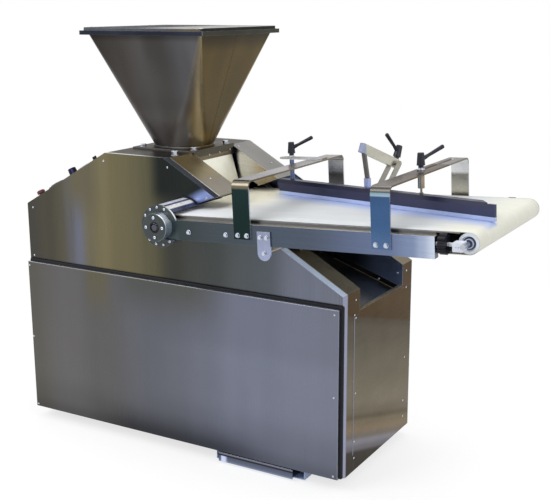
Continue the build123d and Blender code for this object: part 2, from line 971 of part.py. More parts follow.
# Hopper: square at the rim, round at the foot
wall_length = rim_length - 2 * rim_overhang
wall_width = rim_width - 2 * rim_overhang
hopper_low = wall_height + hopper_base_plate
cone_low = hopper_low + hopper_collar
hinge_x = hopper_x - rim_length / 2 - hinge_offset
hinge_z = rim_top + grid_bar / 2
with BuildPart() as hopper:
    with BuildSketch(level(cone_low)):
        with Locations((hopper_x, hopper_y)):
            RectangleRounded(hopper_foot, hopper_foot, hopper_foot_round)
    with BuildSketch(level(rim_top)):
        with Locations((hopper_x, hopper_y)):
            RectangleRounded(wall_length, wall_width, hopper_corner)
    loft(ruled=True)
    with BuildSketch(level(rim_top - rim_drop)):
        with Locations((hopper_x, hopper_y)):
            RectangleRounded(rim_length, rim_width, hopper_corner)
    extrude(amount=rim_drop)
    with BuildSketch(level(cone_low)):
        with Locations((hopper_x, hopper_y)):
            RectangleRounded(
                hopper_foot - 2 * hopper_sheet,
                hopper_foot - 2 * hopper_sheet,
                hopper_foot_round - hopper_sheet,
            )
    with BuildSketch(level(rim_top)):
        with Locations((hopper_x, hopper_y)):
            RectangleRounded(
                wall_length - 2 * hopper_sheet,
                wall_width - 2 * hopper_sheet,
                hopper_corner - hopper_sheet,
            )
    loft(ruled=True, mode=Mode.SUBTRACT)
    with BuildSketch(level(hopper_low)):
        with Locations((hopper_x, hopper_y)):
            RectangleRounded(
                hopper_foot + 2 * hopper_collar_proud,
                hopper_foot + 2 * hopper_collar_proud,
                hopper_foot_round + hopper_collar_proud,
            )
            RectangleRounded(
                hopper_foot - 2 * hopper_sheet,
                hopper_foot - 2 * hopper_sheet,
                hopper_foot_round - hopper_sheet,
                mode=Mode.SUBTRACT,
            )
    extrude(amount=hopper_collar)
    for sign in (-1, 1):
        lug_y = hopper_y + sign * (rim_width / 2 - hinge_lug_inset)
        with BuildSketch(side(lug_y + hinge_lug / 2)):
            with BuildLine():
                Polyline(
                    (hopper_x - rim_length / 2, rim_top - rim_drop),
                    (hinge_x - hinge_lug / 2, rim_top),
                    (hinge_x - hinge_lug / 2, hinge_z),
                    (hinge_x + hinge_lug / 2, hinge_z),
                    (hopper_x - rim_length / 2, rim_top - panel_gap),
                    close=True,
                )
            make_face()
            with Locations((hinge_x, hinge_z)):
                Circle(hinge_lug / 2)
                Circle(hinge_pin + run_fit, mode=Mode.SUBTRACT)
        extrude(amount=hinge_lug)
save(hopper, "hopper")

with BuildPart() as hopper_grid:
    grid_long = rim_length - 2 * grid_inset
    grid_wide = rim_width - 2 * grid_inset
    with BuildSketch(level(rim_top)):
        with Locations((hopper_x, hopper_y)):
            RectangleRounded(grid_long, grid_wide, grid_corner)
            RectangleRounded(
                grid_long - 2 * grid_bar,
                grid_wide - 2 * grid_bar,
                grid_corner - grid_bar,
                mode=Mode.SUBTRACT,
            )
    extrude(amount=grid_bar)
    fillet(faces().sort_by(Axis.Z)[-1].edges(), grid_bar / 3)
    rod_pitch = (grid_wide - 2 * grid_bar) / (grid_rod_count + 1)
    with BuildSketch(station(hopper_x - grid_long / 2 + grid_bar / 2)):
        with Locations((hopper_y, rim_top + grid_bar - grid_rod_radius)):
            with GridLocations(rod_pitch, rod_pitch, grid_rod_count, 1):
                Circle(grid_rod_radius)
    extrude(amount=grid_long - grid_bar)
    # Hinge rod behind the rim, joined to the frame by two tabs beside the lugs
    rod_reach = rim_width / 2 - hinge_lug_inset + hinge_lug / 2 + hinge_tab_gap + hinge_tab_wide
    with BuildSketch(side(hopper_y + rod_reach)):
        with Locations((hinge_x, hinge_z)):
            Circle(hinge_pin)
    extrude(amount=2 * rod_reach)
    for sign in (-1, 1):
        tab_y = hopper_y + sign * (rod_reach - hinge_tab_wide / 2)
        with BuildSketch(level(hinge_z - hinge_pin / 2)):
            with Locations(((hinge_x + hopper_x - grid_long / 2 + grid_bar / 2) / 2, tab_y)):
                Rectangle(hopper_x - grid_long / 2 + grid_bar / 2 - hinge_x, hinge_tab_wide)
        extrude(amount=hinge_pin)
save(hopper_grid, "hopper_grid")

with BuildPart() as hopper_base:
    with BuildSketch(level(wall_height)):
        with Locations(((hopper_base_x0 + hopper_base_x1) / 2, hopper_y)):
            Rectangle(hopper_base_x1 - hopper_base_x0, 2 * hopper_base_half_y)
        with Locations(((throat_rear + throat_front) / 2, hopper_y)):
            Rectangle(throat_front - throat_rear, 2 * throat_half_y, mode=Mode.SUBTRACT)
    extrude(amount=hopper_base_plate)
    throat_low = chamber_high + knife_thick + 2 * slide_gap
    with BuildSketch(level(throat_low)):
        with Locations(((throat_rear + throat_front) / 2, hopper_y)):
            Rectangle(
                throat_front - throat_rear + 2 * throat_wall,
                2 * (throat_half_y + throat_wall),
            )
            Rectangle(throat_front - throat_rear, 2 * throat_half_y, mode=Mode.SUBTRACT)
    extrude(amount=wall_height - throat_low)
save(hopper_base, "hopper_base")

with BuildPart() as hopper_bolts:
    with BuildSketch(level(hopper_low)):
        with Locations((hopper_x + hopper_bolt_forward, hopper_y)):
            with Locations(
                (hopper_bolt_x, -front_bolt_y),
                (hopper_bolt_x, front_bolt_y),
                (-hopper_bolt_x, -hopper_bolt_y),
                (-hopper_bolt_x, hopper_bolt_y),
            ):
                RegularPolygon(small_bolt_flat / 2, 6, major_radius=False)
    extrude(amount=small_bolt_head)
    with BuildSketch(level(wall_height)):
        with Locations((corner_post_x, corner_post_y)):
            RegularPolygon(corner_post_flat / 2, 6, major_radius=False)
    extrude(amount=corner_post_tall)
save(hopper_bolts, "hopper_bolts")

# Dividing mechanism: side plates, chamber, piston, knife and measuring drum
with BuildPart() as side_plates:
    for plate_y in (plate_near + plate_thick, plate_far + plate_thick):
        with BuildSketch(side(plate_y)):
            with BuildLine():
                Polyline(
                    (plate_rear, beam),
                    (plate_front, beam),
                    (plate_front, plate_lobe_low),
                    (plate_lobe, plate_lobe_low),
                    (plate_lobe, plate_lobe_high),
                    (plate_front, plate_lobe_high + fold),
                    (plate_front, plate_top),
                    (plate_rear + plate_corner_x, plate_top),
                    (plate_rear, plate_top - plate_corner_z),
                    close=True,
                )
            make_face()
            with Locations((drum_x, drum_z)):
                Circle(drum_shaft + run_fit, mode=Mode.SUBTRACT)
            with Locations((motor_x, motor_z)):
                Circle(motor_shaft + shaft_hole_play, mode=Mode.SUBTRACT)
        extrude(amount=plate_thick)
save(side_plates, "side_plates")

chamber_near = plate_near + plate_thick
with BuildPart() as chamber_block:
    with BuildSketch(side(plate_far)):
        with Locations(((chamber_rear + chamber_front) / 2, (chamber_low + chamber_high) / 2)):
            Rectangle(chamber_front - chamber_rear, chamber_high - chamber_low)
        with Locations((drum_x, drum_z)):
            Circle(drum_radius + drum_gap, mode=Mode.SUBTRACT)
    extrude(amount=plate_far - chamber_near)
    with BuildSketch(station(chamber_rear)):
        with Locations((hopper_y, drum_z)):
            Rectangle(2 * bore_half_y, 2 * bore_half_z)
    extrude(amount=chamber_front - chamber_rear, mode=Mode.SUBTRACT)
    with BuildSketch(level(drum_z)):
        with Locations(((throat_rear + throat_front) / 2, hopper_y)):
            Rectangle(throat_front - throat_rear, 2 * throat_half_y)
    extrude(amount=chamber_high - drum_z, mode=Mode.SUBTRACT)
save(chamber_block, "chamber_block")

with BuildPart() as main_piston:
    with BuildSketch(station(piston_front - piston_long)):
        with Locations((hopper_y, drum_z)):
            Rectangle(2 * (bore_half_y - slide_gap), 2 * (bore_half_z - slide_gap))
    extrude(amount=piston_long)
    with BuildSketch(station(piston_rod_end)):
        with Locations((hopper_y, drum_z)):
            Circle(piston_rod)
    extrude(amount=piston_front - piston_long - piston_rod_end)
save(main_piston, "main_piston")

with BuildPart() as knife_plate:
    with BuildSketch(level(chamber_high + slide_gap)):
        with Locations((knife_front - knife_long / 2, (chamber_near + plate_far) / 2)):
            Rectangle(knife_long, plate_far - chamber_near - 2 * slide_gap)
    extrude(amount=knife_thick)
save(knife_plate, "knife_plate")

with BuildPart() as measuring_drum:
    with BuildSketch(side(plate_far - slide_gap)):
        with Locations((drum_x, drum_z)):
            Circle(drum_radius)
    extrude(amount=plate_far - chamber_near - 2 * slide_gap)
    with BuildSketch(station(drum_x - drum_radius)):
        with Locations((hopper_y, drum_z)):
            with GridLocations(pocket_pitch, pocket_pitch, 2, 1):
                Circle(pocket_radius)
    extrude(amount=drum_radius - pocket_floor, mode=Mode.SUBTRACT)
    with BuildSketch(side(plate_far + plate_thick)):
        with Locations((drum_x, drum_z)):
            Circle(drum_shaft)
    extrude(amount=plate_far - plate_near + plate_thick)
save(measuring_drum, "measuring_drum")

with BuildPart() as measuring_pistons:
    with BuildSketch(station(drum_x - pocket_floor - slide_gap - pocket_piston)):
        with Locations((hopper_y, drum_z)):
            with GridLocations(pocket_pitch, pocket_pitch, 2, 1):
                Circle(pocket_radius - slide_gap)
    extrude(amount=pocket_piston)
save(measuring_pistons, "measuring_pistons")

# Gear motor on the base frame, its sprocket, and the chain up to the drive roller
with BuildPart() as gearmotor:
    with BuildSketch(side(gearbox_far)):
        with Locations((motor_x, motor_z)):
            Rectangle(2 * gearbox_half, 2 * gearbox_half)
    extrude(amount=gearbox_far - gearbox_near)
    with BuildSketch(level(beam)):
        with Locations((motor_x, (gearbox_near + gearbox_far) / 2)):
            Rectangle(plate_front - plate_rear - beam, gearbox_far - gearbox_near)
    extrude(amount=motor_z - gearbox_half - beam)
    with BuildSketch(station(motor_end)):
        with Locations(((gearbox_near + gearbox_far) / 2, motor_z)):
            Circle(motor_radius)
    extrude(amount=motor_x - gearbox_half - motor_end)
    with BuildSketch(station(motor_end - motor_fan)):
        with Locations(((gearbox_near + gearbox_far) / 2, motor_z)):
            Circle(motor_radius - fold / 2)
    extrude(amount=motor_fan)
    with BuildSketch(side(gearbox_far)):
        with Locations((motor_x, motor_z)):
            Circle(motor_shaft + run_fit)
    extrude(amount=gearbox_half, mode=Mode.SUBTRACT)
save(gearmotor, "gearmotor")

with BuildPart() as drive_sprocket:
    with BuildSketch(side(shaft_far)):
        with Locations((motor_x, motor_z)):
            Circle(motor_shaft)
    extrude(amount=shaft_far - gearbox_far + gearbox_half - panel_gap)
    with BuildSketch(side(sprocket_y + sprocket_thick)):
        with Locations((motor_x, motor_z)):
            Circle(sprocket_radius)
    extrude(amount=sprocket_thick)
    with BuildSketch(side(sprocket_y)):
        with Locations((motor_x, motor_z)):
            Circle(sprocket_hub)
    extrude(amount=sprocket_hub)
save(drive_sprocket, "drive_sprocket")

with BuildPart() as drive_chain:
    chain_span = hypot(drive_x - motor_x, drive_z - motor_z)
    chain_angle = degrees(atan2(drive_z - motor_z, drive_x - motor_x))
    chain_outer = 2 * (sprocket_radius + chain_gap + chain_tall)
    chain_inner = 2 * (sprocket_radius + chain_gap)
    with BuildSketch(side(sprocket_y + sprocket_thick)):
        with Locations(((drive_x + motor_x) / 2, (drive_z + motor_z) / 2)):
            SlotCenterToCenter(chain_span, chain_outer, rotation=chain_angle)
            SlotCenterToCenter(chain_span, chain_inner, rotation=chain_angle, mode=Mode.SUBTRACT)
    extrude(amount=sprocket_thick)
save(drive_chain, "drive_chain")


# Conveyor rails: C channels, each closed at its front end by the plate that holds the take-up stud
def rail(sign):
    web = sign * rail_outer
    inner = sign * (rail_outer - rail_sheet)
    lip = sign * (rail_outer - rail_flange)
    rail_low = rail_top - rail_tall
    with BuildPart() as piece:
        with BuildSketch(deck_cross(rail_start)):
            with BuildLine():
                Polyline(
                    (web, rail_low),
                    (lip, rail_low),
                    (lip, rail_low + rail_sheet),
                    (inner, rail_low + rail_sheet),
                    (inner, rail_top - rail_sheet),
                    (lip, rail_top - rail_sheet),
                    (lip, rail_top),
                    (web, rail_top),
                    close=True,
                )
            make_face()
        extrude(amount=rail_end - rail_start)
        with BuildSketch(deck_cross(rail_end - rail_stop)):
            with Locations(((inner + lip) / 2, rail_top - rail_tall / 2)):
                Rectangle(rail_flange - rail_sheet, rail_tall - 2 * rail_sheet)
            with Locations((sign * take_up_v, 0)):
                Circle(stud_radius, mode=Mode.SUBTRACT)
        extrude(amount=rail_stop)
        with BuildSketch(deck_side(web + rail_sheet)):
            Circle(drive_shaft + shaft_hole_play)
        extrude(amount=2 * rail_sheet, mode=Mode.SUBTRACT)
    return piece


near_rail = rail(-1)
save(near_rail, "near_rail")
far_rail = rail(1)
save(far_rail, "far_rail")

bed_top = belt_inner - bed_gap
with BuildPart() as slider_bed:
    with BuildSketch(deck_cross(bed_start)):
        with Locations((0, bed_top - bed_sheet / 2)):
            Rectangle(2 * bed_half, bed_sheet)
    extrude(amount=bed_end - bed_start)
    with BuildSketch(deck_cross(bed_start)):
        for sign in (-1, 1):
            with Locations((sign * (bed_half - bed_sheet / 2), bed_top - bed_sheet - bed_skirt / 2)):
                Rectangle(bed_sheet, bed_skirt)
    extrude(amount=rail_end - rail_stop - bed_start)
    with BuildSketch(deck_side(rail_outer - rail_sheet)):
        with Locations(
            (cross_tube_first, cross_tube_w),
            (cross_tube_second, cross_tube_w),
            (cross_tube_third, cross_tube_w),
        ):
            Circle(cross_tube)
    extrude(amount=2 * (rail_outer - rail_sheet))
save(slider_bed, "slider_bed")

with BuildPart() as conveyor_belt:
    with BuildSketch(deck_side(belt_half)):
        with Locations((roller_span / 2, 0)):
            SlotCenterToCenter(roller_span, 2 * belt_outer)
            SlotCenterToCenter(roller_span, 2 * belt_inner, mode=Mode.SUBTRACT)
    extrude(amount=2 * belt_half)
save(conveyor_belt, "conveyor_belt")

flange_face = -rail_outer - flange_thick
hub_face = flange_face - hub_proud
with BuildPart() as drive_roller:
    with BuildSketch(deck_side(belt_half)):
        Circle(roller_radius)
    extrude(amount=2 * belt_half)
    with BuildSketch(side(shaft_far)):
        with Locations((drive_x, drive_z)):
            Circle(drive_shaft)
    extrude(amount=shaft_far - belt_mid - hub_face)
    with BuildSketch(side(sprocket_y + sprocket_thick)):
        with Locations((drive_x, drive_z)):
            Circle(sprocket_radius)
    extrude(amount=sprocket_thick)
save(drive_roller, "drive_roller")

with BuildPart() as end_roller:
    with BuildSketch(deck_side(belt_half)):
        with Locations((roller_span, 0)):
            Circle(roller_radius)
            Circle(axle_radius + run_fit, mode=Mode.SUBTRACT)
    extrude(amount=2 * belt_half)
    with BuildSketch(deck_side(belt_half)):
        with Locations((roller_span, 0)):
            Circle(roller_recess_radius)
            Circle(axle_radius + roller_recess, mode=Mode.SUBTRACT)
    extrude(amount=roller_recess, mode=Mode.SUBTRACT)
    with BuildSketch(deck_side(roller_recess - belt_half)):
        with Locations((roller_span, 0)):
            Circle(roller_recess_radius)
            Circle(axle_radius + roller_recess, mode=Mode.SUBTRACT)
    extrude(amount=roller_recess, mode=Mode.SUBTRACT)
save(end_roller, "end_roller")

with BuildPart() as end_axle:
    with BuildSketch(deck_side(rail_outer + block_wide / 2)):
        with Locations((roller_span, 0)):
            Circle(axle_radius)
    extrude(amount=2 * rail_outer + block_wide)
save(end_axle, "end_axle")

# Mounting tube round the drive roller, open towards the belt, from the flange to the near side plate
with BuildPart() as mounting_tube:
    tube_inner = flange_radius - guard_sheet
    tube_end = plate_near - belt_mid
    with BuildSketch(deck_side(tube_end)):
        Circle(flange_radius)
        Circle(tube_inner, mode=Mode.SUBTRACT)
        with BuildLine():
            mouth = 2 * flange_radius
            Polyline(
                (0, 0),
                (mouth * cos(radians(guard_open)), mouth * sin(radians(guard_open))),
                (mouth * cos(radians(guard_open)), -mouth * sin(radians(guard_open))),
                close=True,
            )
        make_face(mode=Mode.SUBTRACT)
    extrude(amount=tube_end + rail_outer)
save(mounting_tube, "mounting_tube")

# Near bearing: the flange leaves the rail's face free beside the hub
with BuildPart() as bearings:
    with BuildSketch(deck_side(-rail_outer)):
        Circle(flange_radius)
        with Locations((flange_radius / 2, rail_top - rail_tall / 2)):
            Rectangle(flange_radius, rail_tall, mode=Mode.SUBTRACT)
    extrude(amount=flange_thick)
    with BuildSketch(deck_side(-rail_outer)):
        Circle(hub_radius)
    extrude(amount=flange_thick + hub_proud)
    hub_front = faces().sort_by(Axis.Y)[0]
    fillet(hub_front.edges(), bolt_head / 2)
    with BuildSketch(deck_side(hub_face + hub_ring_deep)):
        Circle(hub_ring)
    extrude(amount=hub_ring_deep, mode=Mode.SUBTRACT)
    with BuildSketch(deck_side(rail_outer + far_bearing_thick)):
        Circle(far_bearing_radius)
    extrude(amount=far_bearing_thick)
    with BuildSketch(deck_side(rail_outer + far_bearing_thick)):
        Circle(drive_shaft + run_fit)
    extrude(amount=2 * rail_outer + far_bearing_thick - hub_face, mode=Mode.SUBTRACT)
save(bearings, "bearings")

# Take-up blocks: each has a half-round seat for the axle in its outer end face
with BuildPart() as take_up_blocks:
    for sign in (-1, 1):
        with BuildSketch(deck_side(sign * rail_outer + block_wide / 2)):
            with Locations(((block_start + roller_span) / 2, (block_low + block_high) / 2)):
                Rectangle(roller_span - block_start, block_high - block_low)
            with Locations((roller_span, 0)):
                Circle(axle_radius, mode=Mode.SUBTRACT)
        extrude(amount=block_wide)
        with BuildSketch(deck_cross(rail_end - rail_stop)):
            with Locations((sign * take_up_v, 0)):
                Circle(stud_radius)
        extrude(amount=block_start - rail_end + rail_stop)
save(take_up_blocks, "take_up_blocks")


def star_knob(sign):
    with BuildPart() as piece:
        with BuildSketch(deck_cross(knob_start)):
            with Locations((sign * take_up_v, 0)):
                Circle(star_radius)
                with PolarLocations(star_lobe_circle, star_lobes):
                    Circle(star_lobe)
                Circle(stud_radius + run_fit, mode=Mode.SUBTRACT)
        extrude(amount=knob_thick)
    return piece


near_star_knob = star_knob(-1)
save(near_star_knob, "near_star_knob")
far_star_knob = star_knob(1)
save(far_star_knob, "far_star_knob")

# Guide frame: s runs back from the guide's face, t runs along the guide
guide_angle = radians(guide_turn)
guide_dir = along * cos(guide_angle) + Vector(0, sin(guide_angle), 0)
guide_back = along * -sin(guide_angle) + Vector(0, cos(guide_angle), 0)
guide_origin = drive_axis + along * guide_start_u + Vector(0, guide_start_v, 0)


def guide_section(t):
    """Plane across the guide at a distance along it: local x is s, local y is w."""
    return Plane(origin=guide_origin + guide_dir * t, x_dir=guide_back, z_dir=guide_back.cross(upward))


def guide_seat(t, s, w):
    """Plane facing up from the belt at a point of the guide frame; local x runs along the belt."""
    return Plane(
        origin=guide_origin + guide_dir * t + guide_back * s + upward * w,
        x_dir=along,
        z_dir=upward,
    )


def guide_front(s):
    """Upright plane along the guide at a distance back: local x is t, local y is w; extrudes forward."""
    return Plane(origin=guide_origin + guide_back * s, x_dir=guide_dir, z_dir=guide_back * -1)


def guide_plan(w):
    """Plane of the belt at a height over the guide: local x is t, local y is s; extrudes up."""
    return Plane(origin=guide_origin + upward * w, x_dir=guide_dir, z_dir=upward)


strip_low = belt_outer + guide_gap
guide_low = strip_low + strip_tall
guide_bend = guide_low + guide_face
guide_top = guide_bend + guide_rise
arm_v = guide_start_v + post_left_along * sin(guide_angle) + post_s * cos(guide_angle)
arm_top = bridge_top + strip_thick
slot_u = guide_start_u + post_right_along * cos(guide_angle) - post_s * sin(guide_angle)


def bridge(centre):
    """Strip bent over the belt, with its legs outside the rails."""
    leg_out = rail_outer + strip_thick
    under = bridge_top - strip_thick
    with BuildPart() as piece:
        with BuildSketch(deck_cross(centre - strip_wide / 2)):
            with BuildLine():
                FilletPolyline(
                    (-leg_out, bridge_foot),
                    (-leg_out, bridge_top),
                    (leg_out, bridge_top),
                    (leg_out, bridge_foot),
                    radius=strip_bend,
                )
                FilletPolyline(
                    (rail_outer, bridge_foot),
                    (rail_outer, under),
                    (-rail_outer, under),
                    (-rail_outer, bridge_foot),
                    radius=strip_bend - strip_thick,
                )
                Line((leg_out, bridge_foot), (rail_outer, bridge_foot))
                Line((-rail_outer, bridge_foot), (-leg_out, bridge_foot))
            make_face()
        extrude(amount=strip_wide)
    return piece


plain_bridge = bridge(left_bridge_u)
with BuildPart() as left_bridge:
    add(plain_bridge.part)
    with BuildSketch(deck_level(bridge_top)):
        with Locations(((arm_start + arm_end) / 2, arm_v)):
            Rectangle(arm_end - arm_start, arm_wide)
        fillet(vertices().group_by(Axis.X)[0], arm_wide / 2 - sheet)
        with Locations(((arm_slot_low + arm_slot_high) / 2, arm_v)):
            SlotOverall(arm_slot_high - arm_slot_low, slot_wide, mode=Mode.SUBTRACT)
    extrude(amount=strip_thick)
save(left_bridge, "left_bridge")

plain_bridge = bridge(right_bridge_u)
with BuildPart() as right_bridge:
    add(plain_bridge.part)
    with BuildSketch(deck_level(bridge_top - 2 * strip_thick)):
        with Locations((slot_u, (bridge_slot_low + bridge_slot_high) / 2)):
            SlotOverall(bridge_slot_high - bridge_slot_low, slot_wide, rotation=90)
    extrude(amount=3 * strip_thick, mode=Mode.SUBTRACT)
save(right_bridge, "right_bridge")

# Bolts of the flange, hub, rails, bridge legs and lugs
leg_face = rail_outer + strip_thick
lug_face = rail_outer + lug_thick
with BuildPart() as conveyor_bolts:
    with BuildSketch(deck_side(flange_face)):
        for bolt_start in (flange_bolt_first, flange_bolt_first + flange_bolt_turn):
            with PolarLocations(
                flange_bolt_circle, 4, start_angle=bolt_start, angular_range=3 * flange_bolt_step, endpoint=True
            ):
                Circle(flange_bolt_radius)
    extrude(amount=bolt_head)
    with BuildSketch(deck_side(hub_face)):
        with PolarLocations(hub_bolt_circle, 4):
            RegularPolygon(hub_bolt_radius, 6)
    extrude(amount=bolt_head)
    with BuildSketch(deck_side(-rail_outer)):
        with Locations((rail_bolt_first, rail_bolt_w), (rail_bolt_second, rail_bolt_w)):
            RegularPolygon(bolt_radius, 6)
    extrude(amount=rail_bolt_tall)
    with BuildSketch(deck_side(-leg_face)):
        for centre in (left_bridge_u, right_bridge_u):
            with Locations((centre - leg_bolt_spread, leg_bolt_w), (centre + leg_bolt_spread, leg_bolt_w)):
                RegularPolygon(bolt_radius, 6)
        with Locations((lug_u - lug_bolt_spread, lug_bolt_w), (lug_u + lug_bolt_spread, lug_bolt_w)):
            RegularPolygon(bolt_radius, 6)
        with Locations((lug_u, tie_w)):
            RegularPolygon(bolt_radius, 6)
    extrude(amount=rail_bolt_tall)
    with BuildSketch(deck_side(leg_face + rail_bolt_tall)):
        for centre in (left_bridge_u, right_bridge_u):
            with Locations((centre - leg_bolt_spread, leg_bolt_w), (centre + leg_bolt_spread, leg_bolt_w)):
                RegularPolygon(bolt_radius, 6)
        with Locations((lug_u, lug_bolt_w)):
            RegularPolygon(bolt_radius, 6)
    extrude(amount=rail_bolt_tall)
save(conveyor_bolts, "conveyor_bolts")

with BuildPart() as support_stay:
    with BuildSketch(deck_side(-rail_outer)):
        with Locations((lug_u, (lug_top + tie_w) / 2)):
            Rectangle(2 * lug_half_near, lug_top - tie_w)
        with Locations((lug_u, tie_w)):
            Circle(lug_half_near)
    extrude(amount=lug_thick)
    with BuildSketch(deck_side(lug_face)):
        with Locations((lug_u, (lug_top + tie_w) / 2)):
            Rectangle(2 * lug_half_far, lug_top - tie_w)
        with Locations((lug_u, tie_w)):
            Circle(lug_half_far)
    extrude(amount=lug_thick)
    with BuildSketch(deck_side(rail_outer)):
        with Locations((lug_u, tie_w)):
            Circle(tie_radius)
    extrude(amount=2 * rail_outer)
save(support_stay, "support_stay")

with BuildPart() as guide_strip:
    with BuildSketch(guide_section(0)):
        with Locations((strip_deep / 2, (strip_low + guide_low) / 2)):
            Rectangle(strip_deep, strip_tall)
    extrude(amount=guide_long)
save(guide_strip, "guide_strip")

# Guide bar: upright face, flange leaning back and a level lip, both cut off at a slant in plan near the
# outer end, where an upright end block takes over; the inner end slants forward to the top
with BuildPart() as guide_bar:
    lean_long = hypot(guide_lean, guide_rise)
    lip_slant = guide_sheet * (lean_long - guide_lean) / guide_rise
    face_slant = guide_sheet * (lean_long - guide_rise) / guide_lean
    guide_back_edge = guide_lean + guide_lip
    with BuildSketch(guide_section(-guide_overrun)):
        with BuildLine():
            Polyline(
                (0, guide_low),
                (0, guide_bend),
                (guide_lean, guide_top),
                (guide_back_edge, guide_top),
                (guide_back_edge, guide_top - guide_sheet),
                (guide_lean + lip_slant, guide_top - guide_sheet),
                (guide_sheet, guide_bend - face_slant),
                (guide_sheet, guide_low),
                close=True,
            )
        make_face()
    extrude(amount=guide_long + guide_overrun)
    with BuildSketch(guide_front(-guide_sheet)):
        with BuildLine():
            Polyline(
                (-2 * guide_overrun, guide_low),
                (0, guide_low),
                (-guide_overrun, guide_top),
                (-2 * guide_overrun, guide_top),
                close=True,
            )
        make_face()
    extrude(amount=-guide_back_edge - 2 * guide_sheet, mode=Mode.SUBTRACT)
    with BuildSketch(guide_plan(guide_bend)):
        with BuildLine():
            cut_end = guide_long - guide_cut_gap
            cut_run = guide_cut / guide_back_edge
            Polyline(
                (cut_end - cut_run * (guide_back_edge + guide_lip), guide_back_edge + guide_lip),
                (cut_end + cut_run * guide_sheet, -guide_sheet),
                (2 * guide_long, -guide_sheet),
                (2 * guide_long, guide_back_edge + guide_lip),
                close=True,
            )
        make_face()
    extrude(amount=guide_rise + guide_sheet, mode=Mode.SUBTRACT)
    with BuildSketch(guide_section(guide_long - guide_end_long)):
        with Locations((guide_end_deep / 2, guide_low + guide_end_tall / 2)):
            Rectangle(guide_end_deep, guide_end_tall)
    extrude(amount=guide_end_long)
    with BuildSketch(guide_seat(post_left_along, post_s, guide_top - 2 * guide_sheet)):
        Circle(post_pin + run_fit)
    extrude(amount=3 * guide_sheet, mode=Mode.SUBTRACT)
save(guide_bar, "guide_bar")

# Posts: each ends in a stud through its slot, with a washer and nut above the slotted strip
with BuildPart() as left_post:
    left_seat = guide_seat(post_left_along, post_s, 0)
    left_nut = arm_top + post_gap + washer_thick + left_nut_tall
    with BuildSketch(left_seat.offset(guide_top - guide_sheet)):
        Circle(post_pin)
    extrude(amount=guide_sheet + post_gap)
    with BuildSketch(left_seat.offset(guide_top + post_gap)):
        Circle(left_post_radius)
    extrude(amount=bridge_top - guide_top - 2 * post_gap)
    with BuildSketch(left_seat.offset(bridge_top - post_gap)):
        Circle(post_stud)
    extrude(amount=left_nut - bridge_top + post_gap + lever_bore_deep - panel_gap)
    with BuildSketch(left_seat.offset(arm_top + post_gap)):
        Circle(washer_radius)
    extrude(amount=washer_thick)
    with BuildSketch(left_seat.offset(arm_top + post_gap + washer_thick)):
        Circle(nut_radius)
    extrude(amount=left_nut_tall)
save(left_post, "left_post")

with BuildPart() as right_post:
    right_seat = guide_seat(post_right_along, post_s, 0)
    under_strip = bridge_top - strip_thick
    right_nut = bridge_top + post_gap + washer_thick + right_nut_tall
    with BuildSketch(right_seat.offset(guide_top)):
        Circle(post_neck)
    extrude(amount=post_neck_tall)
    with BuildSketch(right_seat.offset(guide_top)):
        RegularPolygon(post_nut / 2, 6, major_radius=False)
    extrude(amount=post_nut_tall)
    with BuildSketch(right_seat.offset(guide_top + post_neck_tall)):
        Circle(right_post_radius)
    extrude(amount=under_strip - guide_top - post_neck_tall - post_gap)
    with BuildSketch(right_seat.offset(under_strip - post_gap)):
        Circle(post_stud)
    extrude(amount=right_nut - under_strip + post_gap + lever_bore_deep - panel_gap)
    with BuildSketch(right_seat.offset(bridge_top + post_gap)):
        Circle(washer_radius)
    extrude(amount=washer_thick)
    with BuildSketch(right_seat.offset(bridge_top + post_gap + washer_thick)):
        Circle(nut_radius)
    extrude(amount=right_nut_tall)
save(right_post, "right_post")


def clamp_lever(seat, turn):
    """Indexing clamp lever: a bored hub standing on its seat and a rising tapered handle."""
    heading = seat.x_dir * cos(radians(turn)) + seat.y_dir * sin(radians(turn))
    frame = Plane(origin=seat.origin, x_dir=heading, z_dir=seat.z_dir)
    rise = radians(lever_rise)
    grip_dir = frame.x_dir * cos(rise) + frame.z_dir * sin(rise)
    grip_start = frame.origin + frame.z_dir * (lever_hub_tall - lever_grip_drop)
    grip = Plane(origin=grip_start, z_dir=grip_dir)
    with BuildPart() as piece:
        with BuildSketch(frame):
            Circle(lever_collar)
        extrude(amount=lever_collar_tall)
        with BuildSketch(frame.offset(lever_collar_tall)):
            Circle(lever_hub_radius)
        with BuildSketch(frame.offset(lever_hub_tall)):
            Circle(lever_hub_top)
        loft()
        top_rim = faces().sort_by(Axis(frame.origin, frame.z_dir))[-1].edges()
        fillet(top_rim, lever_hub_top / 4)
        with BuildSketch(grip):
            Circle(lever_root)
        with BuildSketch(grip.offset(lever_long / 3)):
            Circle(lever_waist)
        loft()
        with BuildSketch(grip.offset(lever_long / 3)):
            Circle(lever_waist)
        with BuildSketch(grip.offset(lever_long)):
            Circle(lever_tip)
        loft()
        grip_end = faces().sort_by(Axis(grip_start, grip_dir))[-1].edges()
        fillet(grip_end, lever_tip * 0.7)
        with BuildSketch(frame):
            Circle(post_stud + run_fit)
        extrude(amount=lever_bore_deep, mode=Mode.SUBTRACT)
    return piece


left_lever = clamp_lever(left_seat.offset(left_nut + post_gap), left_lever_turn)
save(left_lever, "left_lever")
right_lever = clamp_lever(right_seat.offset(right_nut + post_gap), right_lever_turn)
save(right_lever, "right_lever")

